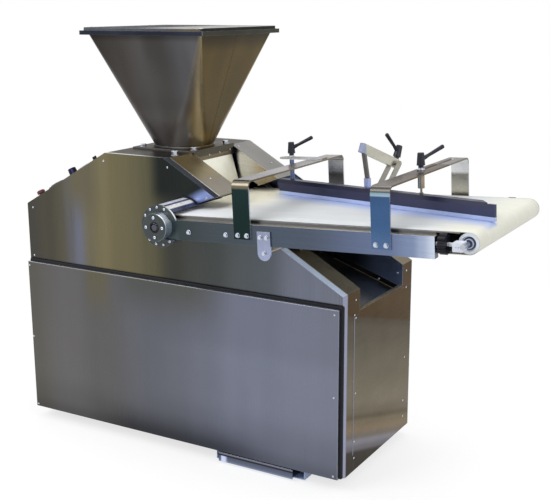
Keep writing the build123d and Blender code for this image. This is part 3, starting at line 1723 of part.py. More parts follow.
# Bracket behind the guide: a sloping arm on a strut, held by two fork plates to a heel on the guide
arm_run = Vector(bracket_b_s - bracket_a_s, bracket_b_w - bracket_a_w)
arm_length = arm_run.length
arm_slope = degrees(atan2(arm_run.Y, arm_run.X))
arm_unit = arm_run.normalized()
arm_normal = Vector(-arm_unit.Y, arm_unit.X)
with BuildPart() as bracket_arm:
    with BuildSketch(guide_section(bracket_along - bracket_wide / 2)):
        with Locations(((bracket_a_s + bracket_b_s) / 2, (bracket_a_w + bracket_b_w) / 2)):
            RectangleRounded(arm_length + bracket_wide, bracket_tall, sheet, rotation=arm_slope)
    extrude(amount=bracket_wide)
    arm_stud = Plane(
        origin=guide_origin
        + guide_dir * bracket_along
        + guide_back * (bracket_b_s + arm_normal.X * bracket_tall / 2)
        + upward * (bracket_b_w + arm_normal.Y * bracket_tall / 2),
        x_dir=guide_back * -arm_unit.X + upward * -arm_unit.Y,
        z_dir=guide_back * arm_normal.X + upward * arm_normal.Y,
    )
    with BuildSketch(arm_stud):
        Circle(bracket_stud)
    extrude(amount=lever_bore_deep - panel_gap)
save(bracket_arm, "bracket_arm")

middle_lever = clamp_lever(arm_stud.offset(post_gap), 0)
save(middle_lever, "middle_lever")

with BuildPart() as bracket_links:
    block_top = guide_top + bracket_block_tall
    arm_under_w = bracket_a_w - bracket_tall / 2
    with BuildSketch(guide_section(bracket_along - bracket_wide / 2)):
        with Locations((bracket_block_s, (guide_top + block_top) / 2)):
            Rectangle(2 * bracket_block_half, bracket_block_tall)
        with BuildLine():
            strut_half = bracket_strut_thick / 2
            Polyline(
                (bracket_block_s - strut_half, block_top),
                (bracket_block_s + strut_half, block_top),
                (bracket_a_s + 2 * strut_half, bracket_a_w),
                (bracket_a_s, bracket_a_w),
                close=True,
            )
        make_face()
        with Locations(((bracket_a_s + bracket_b_s) / 2, (bracket_a_w + bracket_b_w) / 2)):
            RectangleRounded(
                arm_length + bracket_wide, bracket_tall, sheet, rotation=arm_slope, mode=Mode.SUBTRACT
            )
    extrude(amount=bracket_wide)
    heel_mid = (heel_low + heel_high) / 2
    fork_foot = guide_sheet + heel_deep - fork_tall / 2
    fork_run = Vector(bracket_b_s - fork_foot, bracket_b_w - heel_mid)
    for sign in (-1, 1):
        fork_edge = bracket_along + sign * (fork_spread + fork_thick / 2) - fork_thick / 2
        with BuildSketch(guide_section(fork_edge)):
            with Locations(((bracket_b_s + fork_foot) / 2, (bracket_b_w + heel_mid) / 2)):
                SlotCenterToCenter(
                    fork_run.length, fork_tall, rotation=degrees(atan2(fork_run.Y, fork_run.X))
                )
        extrude(amount=fork_thick)
        spacer_edge = bracket_along + (fork_spread if sign > 0 else -bracket_wide / 2)
        with BuildSketch(guide_section(spacer_edge - fork_spread + bracket_wide / 2)):
            with Locations((bracket_b_s, bracket_b_w)):
                Circle(fork_spacer)
        extrude(amount=fork_spread - bracket_wide / 2)
    with BuildSketch(guide_section(bracket_along - fork_spread)):
        with Locations((guide_sheet + heel_deep / 2, heel_mid)):
            Rectangle(heel_deep, heel_high - heel_low)
    extrude(amount=2 * fork_spread)
save(bracket_links, "bracket_links")
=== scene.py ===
from math import cos, pi, radians, sin

import bmesh
import bpy
from mathutils import Matrix, Vector


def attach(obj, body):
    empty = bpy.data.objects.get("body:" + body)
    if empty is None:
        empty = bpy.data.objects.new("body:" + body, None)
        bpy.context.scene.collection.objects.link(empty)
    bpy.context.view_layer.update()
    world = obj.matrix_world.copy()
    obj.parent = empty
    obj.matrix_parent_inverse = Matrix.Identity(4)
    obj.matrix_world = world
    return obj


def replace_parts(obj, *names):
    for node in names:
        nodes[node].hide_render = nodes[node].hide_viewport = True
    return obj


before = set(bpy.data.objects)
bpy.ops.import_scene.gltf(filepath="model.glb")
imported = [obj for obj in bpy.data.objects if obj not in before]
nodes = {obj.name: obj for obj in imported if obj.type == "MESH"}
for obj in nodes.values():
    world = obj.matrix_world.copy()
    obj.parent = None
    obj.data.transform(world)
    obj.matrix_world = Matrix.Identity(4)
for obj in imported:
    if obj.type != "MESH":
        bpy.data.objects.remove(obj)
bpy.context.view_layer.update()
scene = bpy.context.scene
scene.view_settings.view_transform = "Standard"

# Places: body sizes in mm from the rear face, the near side face and the panels' bottom edge
ORIGIN = Vector((-980.766, -201.5, 50.0))
BODY_LONG, BODY_DEEP, ROOF = 1472, 604, 1126
COVER_FACE, LIP_FACE, HOPPER_BASE_TOP = -22.6, 735, 1133
HOOD_START, HOOD_FALL = 724, 0.575535
CONTROL_FOOT, CONTROL_RISE = 888.5, 0.56413
RIM_FOLD = 1573


def at(x, y, z):
    return (ORIGIN + Vector((x, y, z))) / 1000


# The conveyor's own directions in mm: u along the belt, v across it, w up from the drive roller's axis
TILT = radians(2.79)
ALONG = Vector((cos(TILT), 0, sin(TILT)))
ACROSS = Vector((0, 1, 0))
UPWARD = Vector((-sin(TILT), 0, cos(TILT)))
DRIVE = Vector((798, 202, 905))
ROLLER_SPAN, BELT_RADIUS, BELT_HALF = 1153.4, 35.5, 322.0
RAIL_FACE, BRIDGE_FACE, FLANGE_FACE, TAKE_UP_FACE, HUB_FACE = 360, 366, 368, 380, 398

# Directions that faces look in
NEAR_OUT, FAR_OUT = Vector((0, -1, 0)), Vector((0, 1, 0))
FRONT_OUT, REAR_OUT, TOP_OUT = Vector((1, 0, 0)), Vector((-1, 0, 0)), Vector((0, 0, 1))
SLOPE_OUT = Vector((0.4988, 0, 0.8667))
CONTROL_OUT, CONTROL_ALONG = Vector((-0.4913, 0, 0.8710)), Vector((0.8710, 0, 0.4913))


def deck(u, v, w):
    return (ORIGIN + DRIVE + ALONG * u + ACROSS * v + UPWARD * w) / 1000


# Shader helpers
def material(name):
    mat = bpy.data.materials.new(name)
    mat.use_nodes = True
    mat.node_tree.nodes.clear()
    return mat, mat.node_tree


def put(nt, kind, sockets=None, **settings):
    node = nt.nodes.new(kind)
    for key, value in settings.items():
        setattr(node, key, value)
    for key, value in (sockets or {}).items():
        if isinstance(value, bpy.types.NodeSocket):
            nt.links.new(value, node.inputs[key])
        else:
            node.inputs[key].default_value = value
    return node


def calc(nt, operation, a, b=0.0):
    return put(nt, "ShaderNodeMath", {0: a, 1: b}, operation=operation).outputs[0]


def vector(nt, operation, a, b):
    return put(nt, "ShaderNodeVectorMath", {0: a, 1: b}, operation=operation).outputs


def length(nt, a):
    return put(nt, "ShaderNodeVectorMath", {0: a}, operation="LENGTH").outputs["Value"]


def remap(nt, value, low, high, to_low=0.0, to_high=1.0, kind="SMOOTHSTEP"):
    sockets = {"Value": value, "From Min": low, "From Max": high, "To Min": to_low, "To Max": to_high}
    return put(nt, "ShaderNodeMapRange", sockets, interpolation_type=kind).outputs[0]


def spread(nt, value, low, high):
    """Noise, which mostly stays between 0.3 and 0.7, spread over a range."""
    return remap(nt, value, 0.3, 0.7, low, high)


def blend(nt, share, a, b, kind="MIX"):
    node = put(nt, "ShaderNodeMix", data_type="RGBA", blend_type=kind)
    for socket, value in ((node.inputs[0], share), (node.inputs[6], a), (node.inputs[7], b)):
        if isinstance(value, bpy.types.NodeSocket):
            nt.links.new(value, socket)
        else:
            socket.default_value = value if isinstance(value, float) else (*value, 1.0)
    return node.outputs[2]


def ramp(nt, value, stops):
    node = put(nt, "ShaderNodeValToRGB", {0: value})
    node.color_ramp.interpolation = "EASE"
    items = node.color_ramp.elements
    while len(items) < len(stops):
        items.new(1.0)
    for item, (place, colour) in zip(items, stops):
        item.position = place
        item.color = (*colour, 1.0)
    return node.outputs[0]


def noise(nt, place, scale, detail=2.0, roughness=0.5):
    moved = put(nt, "ShaderNodeMapping", {"Vector": place, "Scale": scale}).outputs[0]
    sockets = {"Vector": moved, "Scale": 1.0, "Detail": detail, "Roughness": roughness}
    return put(nt, "ShaderNodeTexNoise", sockets).outputs["Fac"]


def scaled(nt, colour, factor):
    grey = put(nt, "ShaderNodeCombineColor", {0: factor, 1: factor, 2: factor}).outputs[0]
    return blend(nt, 1.0, colour, grey, "MULTIPLY")


def bumped(nt, height, strength, distance, normal):
    sockets = {"Height": height, "Strength": strength, "Distance": distance, "Normal": normal}
    return put(nt, "ShaderNodeBump", sockets).outputs[0]


def finish(mat, nt, sockets):
    shader = put(nt, "ShaderNodeBsdfPrincipled", sockets)
    put(nt, "ShaderNodeOutputMaterial", {0: shader.outputs[0]})
    return mat


def edges(nt, radius):
    """Rounded normal of the sheet edges, and how near a point is to an edge."""
    round_normal = put(nt, "ShaderNodeBevel", {"Radius": radius}, samples=4).outputs[0]
    plain = put(nt, "ShaderNodeNewGeometry").outputs["Normal"]
    turn = vector(nt, "DOT_PRODUCT", round_normal, plain)["Value"]
    return round_normal, remap(nt, turn, 0.99, 0.8)


# Slopes of the slanting measures: q, rise, the trough floor's h and the guide's s
FAR_FALL, FRONT_RISE = 0.3, 0.49
TROUGH_FALL, TROUGH_HIGH = 0.348, 1094.6
GUIDE_U, GUIDE_V, GUIDE_BACK = 0.3147, 0.949, 233.3


def measures(nt):
    """Body millimetres x, y, z; belt millimetres u, v, w; the face's direction nx, ny, nz; the turn round
    the drive axis; the slanting heights q and rise; the height h over the trough floor; and the distances
    from the end axle (reach), from the drive axis (hub) and behind the guide (s)."""
    coords = put(nt, "ShaderNodeTexCoord")
    sockets = {0: coords.outputs["Object"], 1: (1000, 1000, 1000), 2: -ORIGIN}
    body = put(nt, "ShaderNodeVectorMath", sockets, operation="MULTIPLY_ADD").outputs[0]
    x, y, z = put(nt, "ShaderNodeSeparateXYZ", {0: body}).outputs
    nx, ny, nz = put(nt, "ShaderNodeSeparateXYZ", {0: coords.outputs["Normal"]}).outputs
    offset = vector(nt, "SUBTRACT", body, DRIVE)[0]
    u = vector(nt, "DOT_PRODUCT", offset, ALONG)["Value"]
    v = calc(nt, "SUBTRACT", y, DRIVE.y)
    w = vector(nt, "DOT_PRODUCT", offset, UPWARD)["Value"]
    found = {"x": x, "y": y, "z": z, "u": u, "v": v, "w": w, "nx": nx, "ny": ny, "nz": nz}
    found["turn"] = calc(nt, "ARCTAN2", w, u)
    found["q"] = calc(nt, "ADD", z, calc(nt, "MULTIPLY", y, FAR_FALL))
    found["rise"] = calc(nt, "SUBTRACT", z, calc(nt, "MULTIPLY", x, FRONT_RISE))
    sloped = calc(nt, "ADD", z, calc(nt, "MULTIPLY", x, TROUGH_FALL))
    found["h"] = calc(nt, "SUBTRACT", sloped, TROUGH_HIGH)
    past_span = calc(nt, "SUBTRACT", u, ROLLER_SPAN)
    found["reach"] = length(nt, put(nt, "ShaderNodeCombineXYZ", {0: past_span, 1: w}).outputs[0])
    found["hub"] = length(nt, put(nt, "ShaderNodeCombineXYZ", {0: u, 1: w}).outputs[0])
    behind = calc(nt, "ADD", calc(nt, "MULTIPLY", u, GUIDE_U), calc(nt, "MULTIPLY", v, GUIDE_V))
    found["s"] = calc(nt, "SUBTRACT", behind, GUIDE_BACK)
    return coords.outputs["Object"], found


def within(nt, found, ranges):
    """How far a point passes all the ranges, each from none at its first value to all at its second."""
    share = None
    for name, low, high in ranges:
        step = remap(nt, found[name], low, high)
        share = step if share is None else calc(nt, "MULTIPLY", share, step)
    return share


def zoned(nt, found, tone, zones):
    """Lay other tones over the first, each within its ranges; a plain number scales the tone."""
    for colour, ranges in zones:
        if isinstance(colour, float):
            colour = scaled(nt, tone, colour)
        tone = blend(nt, within(nt, found, ranges), tone, colour)
    return tone


# Noise scales of the brush lines and of broad bands, by the way that a sheet is brushed
GRAIN = {"x": (5, 700, 700), "y": (700, 5, 700), "z": (700, 700, 5)}
BANDS = {"x": (0.5, 9, 9), "y": (9, 0.5, 9), "z": (9, 9, 0.5)}


def along(nt, found, run, stops, zones):
    """Tones along one measure between two of its values, with others laid over them in zones."""
    axis, low, high = run
    tone = ramp(nt, remap(nt, found[axis], low, high, kind="LINEAR"), stops)
    return zoned(nt, found, tone, zones)


def brushed(name, run, stops, zones=(), grain="z", rough=0.33, band=0.08, streak=0.06, rim=0.3,
            flat=(1, 1, 1), matt=()):
    """Brushed stainless sheet; flat tints what is seen along the sheet, and matt is a zone that scatters
    light."""
    mat, nt = material(name)
    place, found = measures(nt)
    tone = along(nt, found, run, stops, zones)
    lines = noise(nt, place, GRAIN[grain], 2.0, 0.6)
    bands = noise(nt, place, BANDS[grain], 1.0, 0.5)
    smudge = noise(nt, place, (6, 6, 6), 3.0, 0.6)
    shade = calc(nt, "ADD", spread(nt, bands, 1 - band, 1 + band), spread(nt, lines, -streak, streak))
    round_normal, edge = edges(nt, 0.0012)
    # rim lightens the edges: a painted edge highlight
    tone = blend(nt, calc(nt, "MULTIPLY", edge, rim), scaled(nt, tone, shade), (0.62, 0.62, 0.64))
    gloss = calc(nt, "ADD", spread(nt, smudge, rough - 0.04, rough + 0.04), spread(nt, lines, -0.05, 0.05))
    sockets = {
        "Base Color": tone, "Metallic": 1.0, "Roughness": gloss, "Specular Tint": (*flat, 1),
        "Normal": bumped(nt, lines, 0.06, 0.0004, round_normal),
    }
    if matt:
        sockets["Metallic"] = remap(nt, within(nt, found, matt), 0.0, 1.0, 1.0, 0.2)
    return finish(mat, nt, sockets)


def bright(name, run, stops, zones=(), rough=0.16, rim=0.5, metal=1.0, flat=(1, 1, 1)):
    """Turned or polished steel with fine tool marks; flat tints what is seen along the surface."""
    mat, nt = material(name)
    place, found = measures(nt)
    marks = noise(nt, place, (60, 60, 60), 3.0, 0.6)
    cloud = noise(nt, place, (25, 25, 25), 2.0, 0.5)
    round_normal, edge = edges(nt, 0.0008)
    tone = scaled(nt, along(nt, found, run, stops, zones), spread(nt, cloud, 0.9, 1.08))
    # rim lightens the edges: a painted edge highlight
    tone = blend(nt, calc(nt, "MULTIPLY", edge, rim), tone, (0.9, 0.9, 0.92))
    sockets = {
        "Base Color": tone, "Metallic": metal, "Roughness": spread(nt, marks, rough - 0.05, rough + 0.07),
        "Specular Tint": (*flat, 1), "Normal": bumped(nt, marks, 0.04, 0.0003, round_normal),
    }
    return finish(mat, nt, sockets)


def moulded(name, colour, zones=(), rough=0.45, scale=900, depth=0.12, worn=0.15, metal=0.0,
            shine=0.5):
    """Moulded plastic, rubber or paint: fine pitted skin, uneven tone and lighter edges."""
    mat, nt = material(name)
    place, found = measures(nt)
    skin_marks = noise(nt, place, (scale, scale, scale), 2.0, 0.6)
    cloud = noise(nt, place, (14, 14, 14), 3.0, 0.6)
    round_normal, edge = edges(nt, 0.0010)
    lighter = tuple(min(1.0, c * 1.6 + 0.06) for c in colour)
    darker = tuple(c * 0.92 for c in colour)
    paler = tuple(min(1.0, c * 1.06) for c in colour)
    tone = zoned(nt, found, ramp(nt, cloud, [(0.3, darker), (0.7, paler)]), zones)
    tone = blend(nt, calc(nt, "MULTIPLY", edge, worn), tone, lighter)
    gloss = remap(nt, cloud, 0.25, 0.75, rough - 0.06, rough + 0.08)
    sockets = {
        "Base Color": tone, "Metallic": metal, "Roughness": gloss, "Specular IOR Level": shine,
        "Normal": bumped(nt, skin_marks, depth, 0.0004, round_normal),
    }
    return finish(mat, nt, sockets)


def dress(mat, *names):
    for name in names:
        for slot in nodes[name].material_slots:
            slot.material = mat


# Ranges that several zones share: faces by their direction, and parts of a sheet by their place
ON_TOP, ON_FRONT, ON_NEAR = ("nz", 0.6, 0.8), ("nx", 0.6, 0.8), ("ny", -0.5, -0.7)
NEAR_FLAT, NEAR_FULL = ("ny", -0.8, -0.9), ("ny", -0.8, -0.95)
BRIDGE_FLAT, HOPPER_FRONT = ("nz", 0.80, 0.95), ("nx", 0.84, 0.944)
RIM, BELOW_RIM = ("z", RIM_FOLD, RIM_FOLD + 1), ("z", RIM_FOLD + 1, RIM_FOLD)
FAR_HOOD, FAR_LEG, LEG_HIGH = ("y", 400, 440), ("v", 150, 170), ("w", 108, 124)
SLOPING_EDGE, FRONT_SLOPE = ("nz", 0.50, 0.56), ("x", 1030, 1150)
HALF_TURN = 3.1416

# Stainless tones: painted reflections of a dim hall laid into the base colours, darker and greener or
# browner from face to face, with painted highlights and painted shade in zones by place and by the way each
# face looks
side_steel = brushed(
    "side_steel",
    ("x", 0, BODY_LONG),
    [
        (0.00, (0.064, 0.062, 0.053)), (0.07, (0.076, 0.070, 0.054)), (0.125, (0.100, 0.092, 0.070)),
        (0.155, (0.124, 0.124, 0.132)), (0.183, (0.148, 0.156, 0.200)), (0.222, (0.165, 0.148, 0.098)),
        (0.26, (0.188, 0.163, 0.092)), (0.33, (0.150, 0.132, 0.076)), (0.42, (0.122, 0.113, 0.069)),
        (0.50, (0.056, 0.057, 0.050)), (0.64, (0.070, 0.078, 0.077)), (0.76, (0.090, 0.101, 0.115)),
        (0.88, (0.145, 0.158, 0.205)), (1.00, (0.160, 0.172, 0.215)),
    ],
    [
        # Painted shade high in the middle, a painted blue reflection of the mounting tube by the notch, and
        # a painted highlight on the sloping front bevel
        ((0.022, 0.026, 0.025), [("x", 610, 690), ("z", 915, 1010)]),
        ((0.140, 0.126, 0.084), [("x", 170, 270), ("x", 430, 300), ("z", 800, 990)]),
        ((0.310, 0.390, 0.720), [("x", 780, 860), ("z", 925, 955), ("rise", 604, 562), NEAR_FLAT]),
        ((0.038, 0.042, 0.050), [SLOPING_EDGE]),
        ((0.640, 0.740, 0.940), [SLOPING_EDGE, FRONT_SLOPE]),
        ((0.300, 0.310, 0.420), [("nx", 0.50, 0.62), ("ny", -0.3, -0.5)]),
        ((0.620, 0.620, 0.620), [("nz", 0.78, 0.84)]),
    ],
    matt=[SLOPING_EDGE, FRONT_SLOPE],
)
cover_steel = brushed(
    "cover_steel",
    ("x", 0, BODY_LONG),
    [
        (0.00, (0.110, 0.106, 0.092)), (0.14, (0.132, 0.128, 0.132)), (0.25, (0.118, 0.116, 0.116)),
        (0.45, (0.122, 0.127, 0.152)), (0.75, (0.160, 0.173, 0.228)), (1.00, (0.165, 0.178, 0.230)),
    ],
    [
        # Painted reflection patches, painted shade darker towards the bottom, and lighter tops and fronts
        ((0.130, 0.118, 0.084), [("x", 290, 340), ("x", 470, 390), ("z", 420, 620)]),
        ((0.094, 0.098, 0.094), [("z", 450, 640), ("x", 430, 560), ("x", 1050, 800)]),
        (1.10, [("z", 470, 380), ("z", 130, 230), ("x", 500, 800)]),
        (0.86, [("z", 190, 60)]),
        (0.50, [("z", 130, 10), ("x", 260, 560), ("x", 1250, 950)]),
        (0.75, [("z", 70, 5)]),
        ((0.60, 0.60, 0.62), [ON_TOP]),
        ((0.25, 0.26, 0.32), [ON_FRONT]),
    ],
    band=0.03,
    streak=0.03,
)
end_steel = brushed(
    "end_steel",
    ("q", 60, 720),
    [
        (0.00, (0.016, 0.016, 0.020)), (0.05, (0.022, 0.022, 0.026)), (0.08, (0.130, 0.133, 0.165)),
        (0.12, (0.205, 0.210, 0.255)), (0.15, (0.150, 0.135, 0.120)), (0.19, (0.190, 0.148, 0.102)),
        (0.235, (0.150, 0.125, 0.088)), (0.265, (0.085, 0.074, 0.052)), (0.30, (0.125, 0.113, 0.086)),
        (0.36, (0.158, 0.145, 0.114)), (0.55, (0.116, 0.109, 0.084)), (0.79, (0.074, 0.068, 0.056)),
        (0.84, (0.050, 0.045, 0.036)), (0.86, (0.042, 0.023, 0.009)), (1.00, (0.050, 0.028, 0.012)),
    ],
    [
        # Lighter tops with a painted highlight on the front top edge, painted shade on the inner face under
        # the conveyor that turns to a painted blue reflection toward the front, and darker faces that look
        # toward the far side
        ((0.130, 0.108, 0.066), [("nz", 0.5, 0.7)]),
        ((0.190, 0.172, 0.130), [("nz", 0.5, 0.7), ("x", 1150, 1400)]),
        ((0.560, 0.500, 0.360), [("nz", 0.9, 0.97), ("x", 1440, 1460), ("z", 640, 630)]),
        ((0.060, 0.070, 0.090), [ON_NEAR, ("y", 300, 400)]),
        ((0.380, 0.500, 0.900), [ON_NEAR, ("y", 300, 400), ("x", 1240, 1400)]),
        ((0.060, 0.058, 0.050), [("ny", 0.5, 0.7)]),
    ],
    grain="y",
    band=0.05,
    streak=0.03,
    flat=(0.86, 0.80, 0.72),
)
seam_steel = brushed(
    "seam_steel",
    ("z", 1130, 1580),
    [(0.0, (0.076, 0.057, 0.025)), (1.0, (0.090, 0.067, 0.032))],
    rim=0.0,
)
lap_steel = brushed(
    "lap_steel",
    ("z", 0, 720),
    [(0.0, (0.26, 0.26, 0.34)), (1.0, (0.24, 0.24, 0.34))],
    band=0.04,
)
tray_steel = brushed(
    "tray_steel",
    ("z", -40, -2),
    [
        (0.00, (0.24, 0.27, 0.38)), (0.25, (0.12, 0.14, 0.20)), (0.60, (0.095, 0.108, 0.155)),
        (0.68, (0.030, 0.030, 0.038)), (0.80, (0.034, 0.034, 0.044)), (0.86, (0.200, 0.215, 0.270)),
        (0.95, (0.180, 0.195, 0.250)), (1.00, (0.05, 0.05, 0.07)),
    ],
    [
        ((0.60, 0.68, 0.90), [("x", 985, 968), ("x", 950, 957), ("z", -14, -18), ON_NEAR]),
        ((0.55, 0.58, 0.64), [("nz", 0.5, 0.7)]),
    ],
    grain="x",
)
trough_steel = brushed(
    "trough_steel",
    ("x", 780, BODY_LONG),
    [(0.0, (0.10, 0.10, 0.09)), (1.0, (0.105, 0.108, 0.100))],
    [
        # Painted shade on faces that look toward the near side, a painted highlight along the floor's edge,
        # and lighter tops higher up
        ((0.050, 0.046, 0.042), [ON_NEAR]),
        ((0.700, 0.620, 0.540), [ON_NEAR, ("h", 3.2, 2.0)]),
        ((0.120, 0.125, 0.150), [("nz", 0.5, 0.7), ("h", 14, 18)]),
    ],
    grain="x",
)
hood_steel = brushed(
    "hood_steel",
    ("z", 950, 1126),
    [
        (0.0, (0.238, 0.214, 0.172)), (0.45, (0.234, 0.210, 0.168)), (0.70, (0.290, 0.240, 0.132)),
        (1.0, (0.285, 0.235, 0.130)),
    ],
    [
        ((0.230, 0.222, 0.208), [FAR_HOOD]),
        ((0.610, 0.590, 0.560), [ON_NEAR, FAR_HOOD]),
        ((0.620, 0.500, 0.330), [ON_NEAR, FAR_HOOD, ("x", 800, 880)]),
        ((0.030, 0.035, 0.060), [ON_NEAR, FAR_HOOD, ("x", 765, 745)]),
    ],
    grain="x",
)
roof_steel = brushed(
    "roof_steel",
    ("z", 880, 1126),
    [(0.0, (0.20, 0.19, 0.17)), (0.9, (0.17, 0.16, 0.14)), (1.0, (0.160, 0.152, 0.145))],
    [
        ((0.100, 0.092, 0.070), [ON_FRONT]),
        ((0.210, 0.180, 0.120), [ON_FRONT, ("z", 1108, 1104)]),
    ],
    grain="y",
    flat=(0.45, 0.44, 0.42),
)
rear_steel = brushed(
    "rear_steel",
    ("z", 0, 890),
    [(0.0, (0.150, 0.142, 0.125)), (0.5, (0.118, 0.110, 0.090)), (1.0, (0.150, 0.148, 0.150))],
    [((0.5, 0.5, 0.5), [ON_TOP])],
)
hopper_steel = brushed(
    "hopper_steel",
    ("x", 320, 860),
    [
        (0.0, (0.042, 0.037, 0.033)), (0.25, (0.056, 0.050, 0.046)), (0.45, (0.075, 0.071, 0.070)),
        (0.6, (0.064, 0.060, 0.056)), (0.8, (0.092, 0.092, 0.098)), (1.0, (0.098, 0.096, 0.098)),
    ],
    [
        # Painted light: lighter near the foot, a painted highlight down the rounded front corner, painted
        # shade just under the rim, and painted reflections on the faces and the rim
        (1.60, [("z", 1330, 1190), NEAR_FLAT]),
        ((0.125, 0.112, 0.095), [("nx", 0.05, 0.45), BELOW_RIM]),
        ((0.350, 0.275, 0.158), [("nx", 0.45, 0.80), BELOW_RIM]),
        ((0.083, 0.056, 0.015), [HOPPER_FRONT, BELOW_RIM]),
        ((0.310, 0.300, 0.295), [("nx", 0.02, 0.50), ("nx", 0.72, 0.52), ("z", 1310, 1190)]),
        ((0.240, 0.195, 0.120), [("nx", 0.50, 0.68), ("nx", 0.90, 0.82), ("z", 1310, 1200)]),
        (1.9, [HOPPER_FRONT, ("z", 1225, 1165)]),
        (0.34, [("z", 1500, 1572), ("nx", 0.86, 0.944)]),
        (0.60, [("z", 1545, 1572), NEAR_FLAT]),
        ((0.070, 0.064, 0.055), [("nx", -0.3, -0.6)]),
        ((0.090, 0.085, 0.078), [("ny", 0.3, 0.6)]),
        ((0.026, 0.030, 0.044), [RIM, NEAR_FULL]),
        ((0.034, 0.033, 0.024), [RIM, ("nx", 0.94, 0.99)]),
        ((0.200, 0.230, 0.290), [RIM, ("nz", 0.7, 0.9)]),
    ],
    band=0.14,
)
rail_steel = brushed(
    "rail_steel",
    ("u", -30, 1056),
    [
        (0.00, (0.060, 0.085, 0.095)), (0.09, (0.062, 0.085, 0.092)), (0.11, (0.048, 0.062, 0.066)),
        (0.25, (0.064, 0.080, 0.093)), (0.55, (0.080, 0.101, 0.138)), (0.85, (0.138, 0.174, 0.288)),
        (0.93, (0.205, 0.260, 0.400)), (0.96, (0.340, 0.400, 0.550)), (1.00, (0.580, 0.640, 0.780)),
    ],
    [
        ((0.56, 0.53, 0.46), [ON_TOP]),
        ((0.12, 0.13, 0.16), [ON_FRONT]),
    ],
    grain="x",
    band=0.05,
)


def bridge_top(bend, top):
    """Zones that both bridges have: their bends, their tops and the front edge of the top."""
    edge = ((0.170, 0.135, 0.092), [ON_FRONT, ("w", 150, 156)])
    return [(bend, [("nz", 0.15, 0.35)]), (top, [BRIDGE_FLAT]), edge]


left_bridge_steel = brushed(
    "left_bridge_steel",
    ("w", -28, 173),
    [
        (0.0, (0.014, 0.030, 0.029)), (0.86, (0.016, 0.034, 0.033)), (0.90, (0.150, 0.135, 0.100)),
        (1.0, (0.205, 0.180, 0.135)),
    ],
    [
        ((0.260, 0.245, 0.220), [FAR_LEG]),
        ((0.520, 0.530, 0.560), [FAR_LEG, ("w", 95, 112)]),
        ((0.700, 0.710, 0.800), [ON_FRONT]),
    ] + bridge_top((0.205, 0.180, 0.135), (0.180, 0.167, 0.172)),
    grain="y",
    rough=0.26,
    band=0.05,
)
right_bridge_steel = brushed(
    "right_bridge_steel",
    ("w", -28, 173),
    [
        (0.00, (0.085, 0.155, 0.290)), (0.45, (0.057, 0.122, 0.260)), (0.845, (0.050, 0.105, 0.225)),
        (0.865, (0.340, 0.460, 0.560)), (0.905, (0.260, 0.390, 0.460)), (0.925, (0.070, 0.100, 0.110)),
        (0.950, (0.062, 0.085, 0.090)), (0.975, (0.090, 0.088, 0.086)), (1.0, (0.100, 0.095, 0.090)),
    ],
    [
        ((0.560, 0.530, 0.430), [FAR_LEG]),
        ((0.960, 0.970, 0.980), [FAR_LEG, LEG_HIGH]),
        ((0.560, 0.560, 0.680), [ON_FRONT]),
    ] + bridge_top((0.085, 0.080, 0.074), (0.120, 0.108, 0.100)) + [
        ((0.270, 0.265, 0.260), [BRIDGE_FLAT, ("v", -180, -320)]),
        ((0.040, 0.036, 0.032), [BRIDGE_FLAT, ("v", 0, 200)]),
    ],
    grain="y",
    rough=0.26,
    band=0.05,
    flat=(0.58, 0.55, 0.53),
    matt=[FAR_LEG, LEG_HIGH],
)
lug_steel = brushed(
    "lug_steel",
    ("w", -100, 10),
    [(0.0, (0.34, 0.385, 0.55)), (1.0, (0.28, 0.31, 0.43))],
    [((0.45, 0.43, 0.38), [ON_TOP]), ((0.40, 0.36, 0.30), [("v", -340, -320)])],
    grain="z",
    band=0.05,
)
arm_steel = brushed(
    "arm_steel",
    ("w", 150, 260),
    [(0.0, (0.54, 0.53, 0.45)), (1.0, (0.56, 0.55, 0.46))],
    [((0.46, 0.46, 0.58), [("nx", -0.3, -0.6)]), ((0.34, 0.38, 0.54), [("s", 30, 22)])],
    grain="y",
    band=0.05,
)
link_steel = brushed(
    "link_steel",
    ("w", 60, 260),
    [(0.0, (0.34, 0.33, 0.30)), (1.0, (0.40, 0.38, 0.32))],
    [
        ((0.46, 0.46, 0.58), [("nx", -0.3, -0.6)]),
        ((0.170, 0.160, 0.150), [("s", 60, 45)]),
        ((0.380, 0.430, 0.720), [("s", 60, 45), ("w", 132, 128)]),
    ],
    grain="y",
    band=0.05,
)
inner_steel = brushed(
    "inner_steel",
    ("u", 0, 1150),
    [(0.0, (0.14, 0.14, 0.15)), (1.0, (0.12, 0.12, 0.13))],
    [((0.30, 0.29, 0.27), [ON_TOP])],
    grain="x",
)
grid_steel = bright(
    "grid_steel",
    ("x", 320, 860),
    [(0.0, (0.100, 0.105, 0.120)), (0.6, (0.095, 0.100, 0.112)), (1.0, (0.120, 0.105, 0.080))],
    [
        ((0.600, 0.590, 0.570), [("nz", 0.4, 0.8), ("x", 560, 700)]),
        ((0.026, 0.027, 0.026), [("nx", 0.5, 0.8)]),
    ],
    rough=0.2,
    flat=(0.6, 0.6, 0.6),
)
turned = bright(
    "turned_steel",
    ("z", 0, 1600),
    [(0.0, (0.50, 0.52, 0.58)), (1.0, (0.54, 0.56, 0.62))],
    rough=0.18,
)
# Bolt heads with painted shade on every face that doesn't look toward the near side
bolt_steel = bright(
    "bolt_steel",
    ("w", -100, 60),
    [(0.0, (0.55, 0.60, 0.72)), (1.0, (0.60, 0.65, 0.76))],
    [((0.16, 0.18, 0.24), [("ny", -0.75, -0.45)])],
    rough=0.2,
    rim=0.7,
)
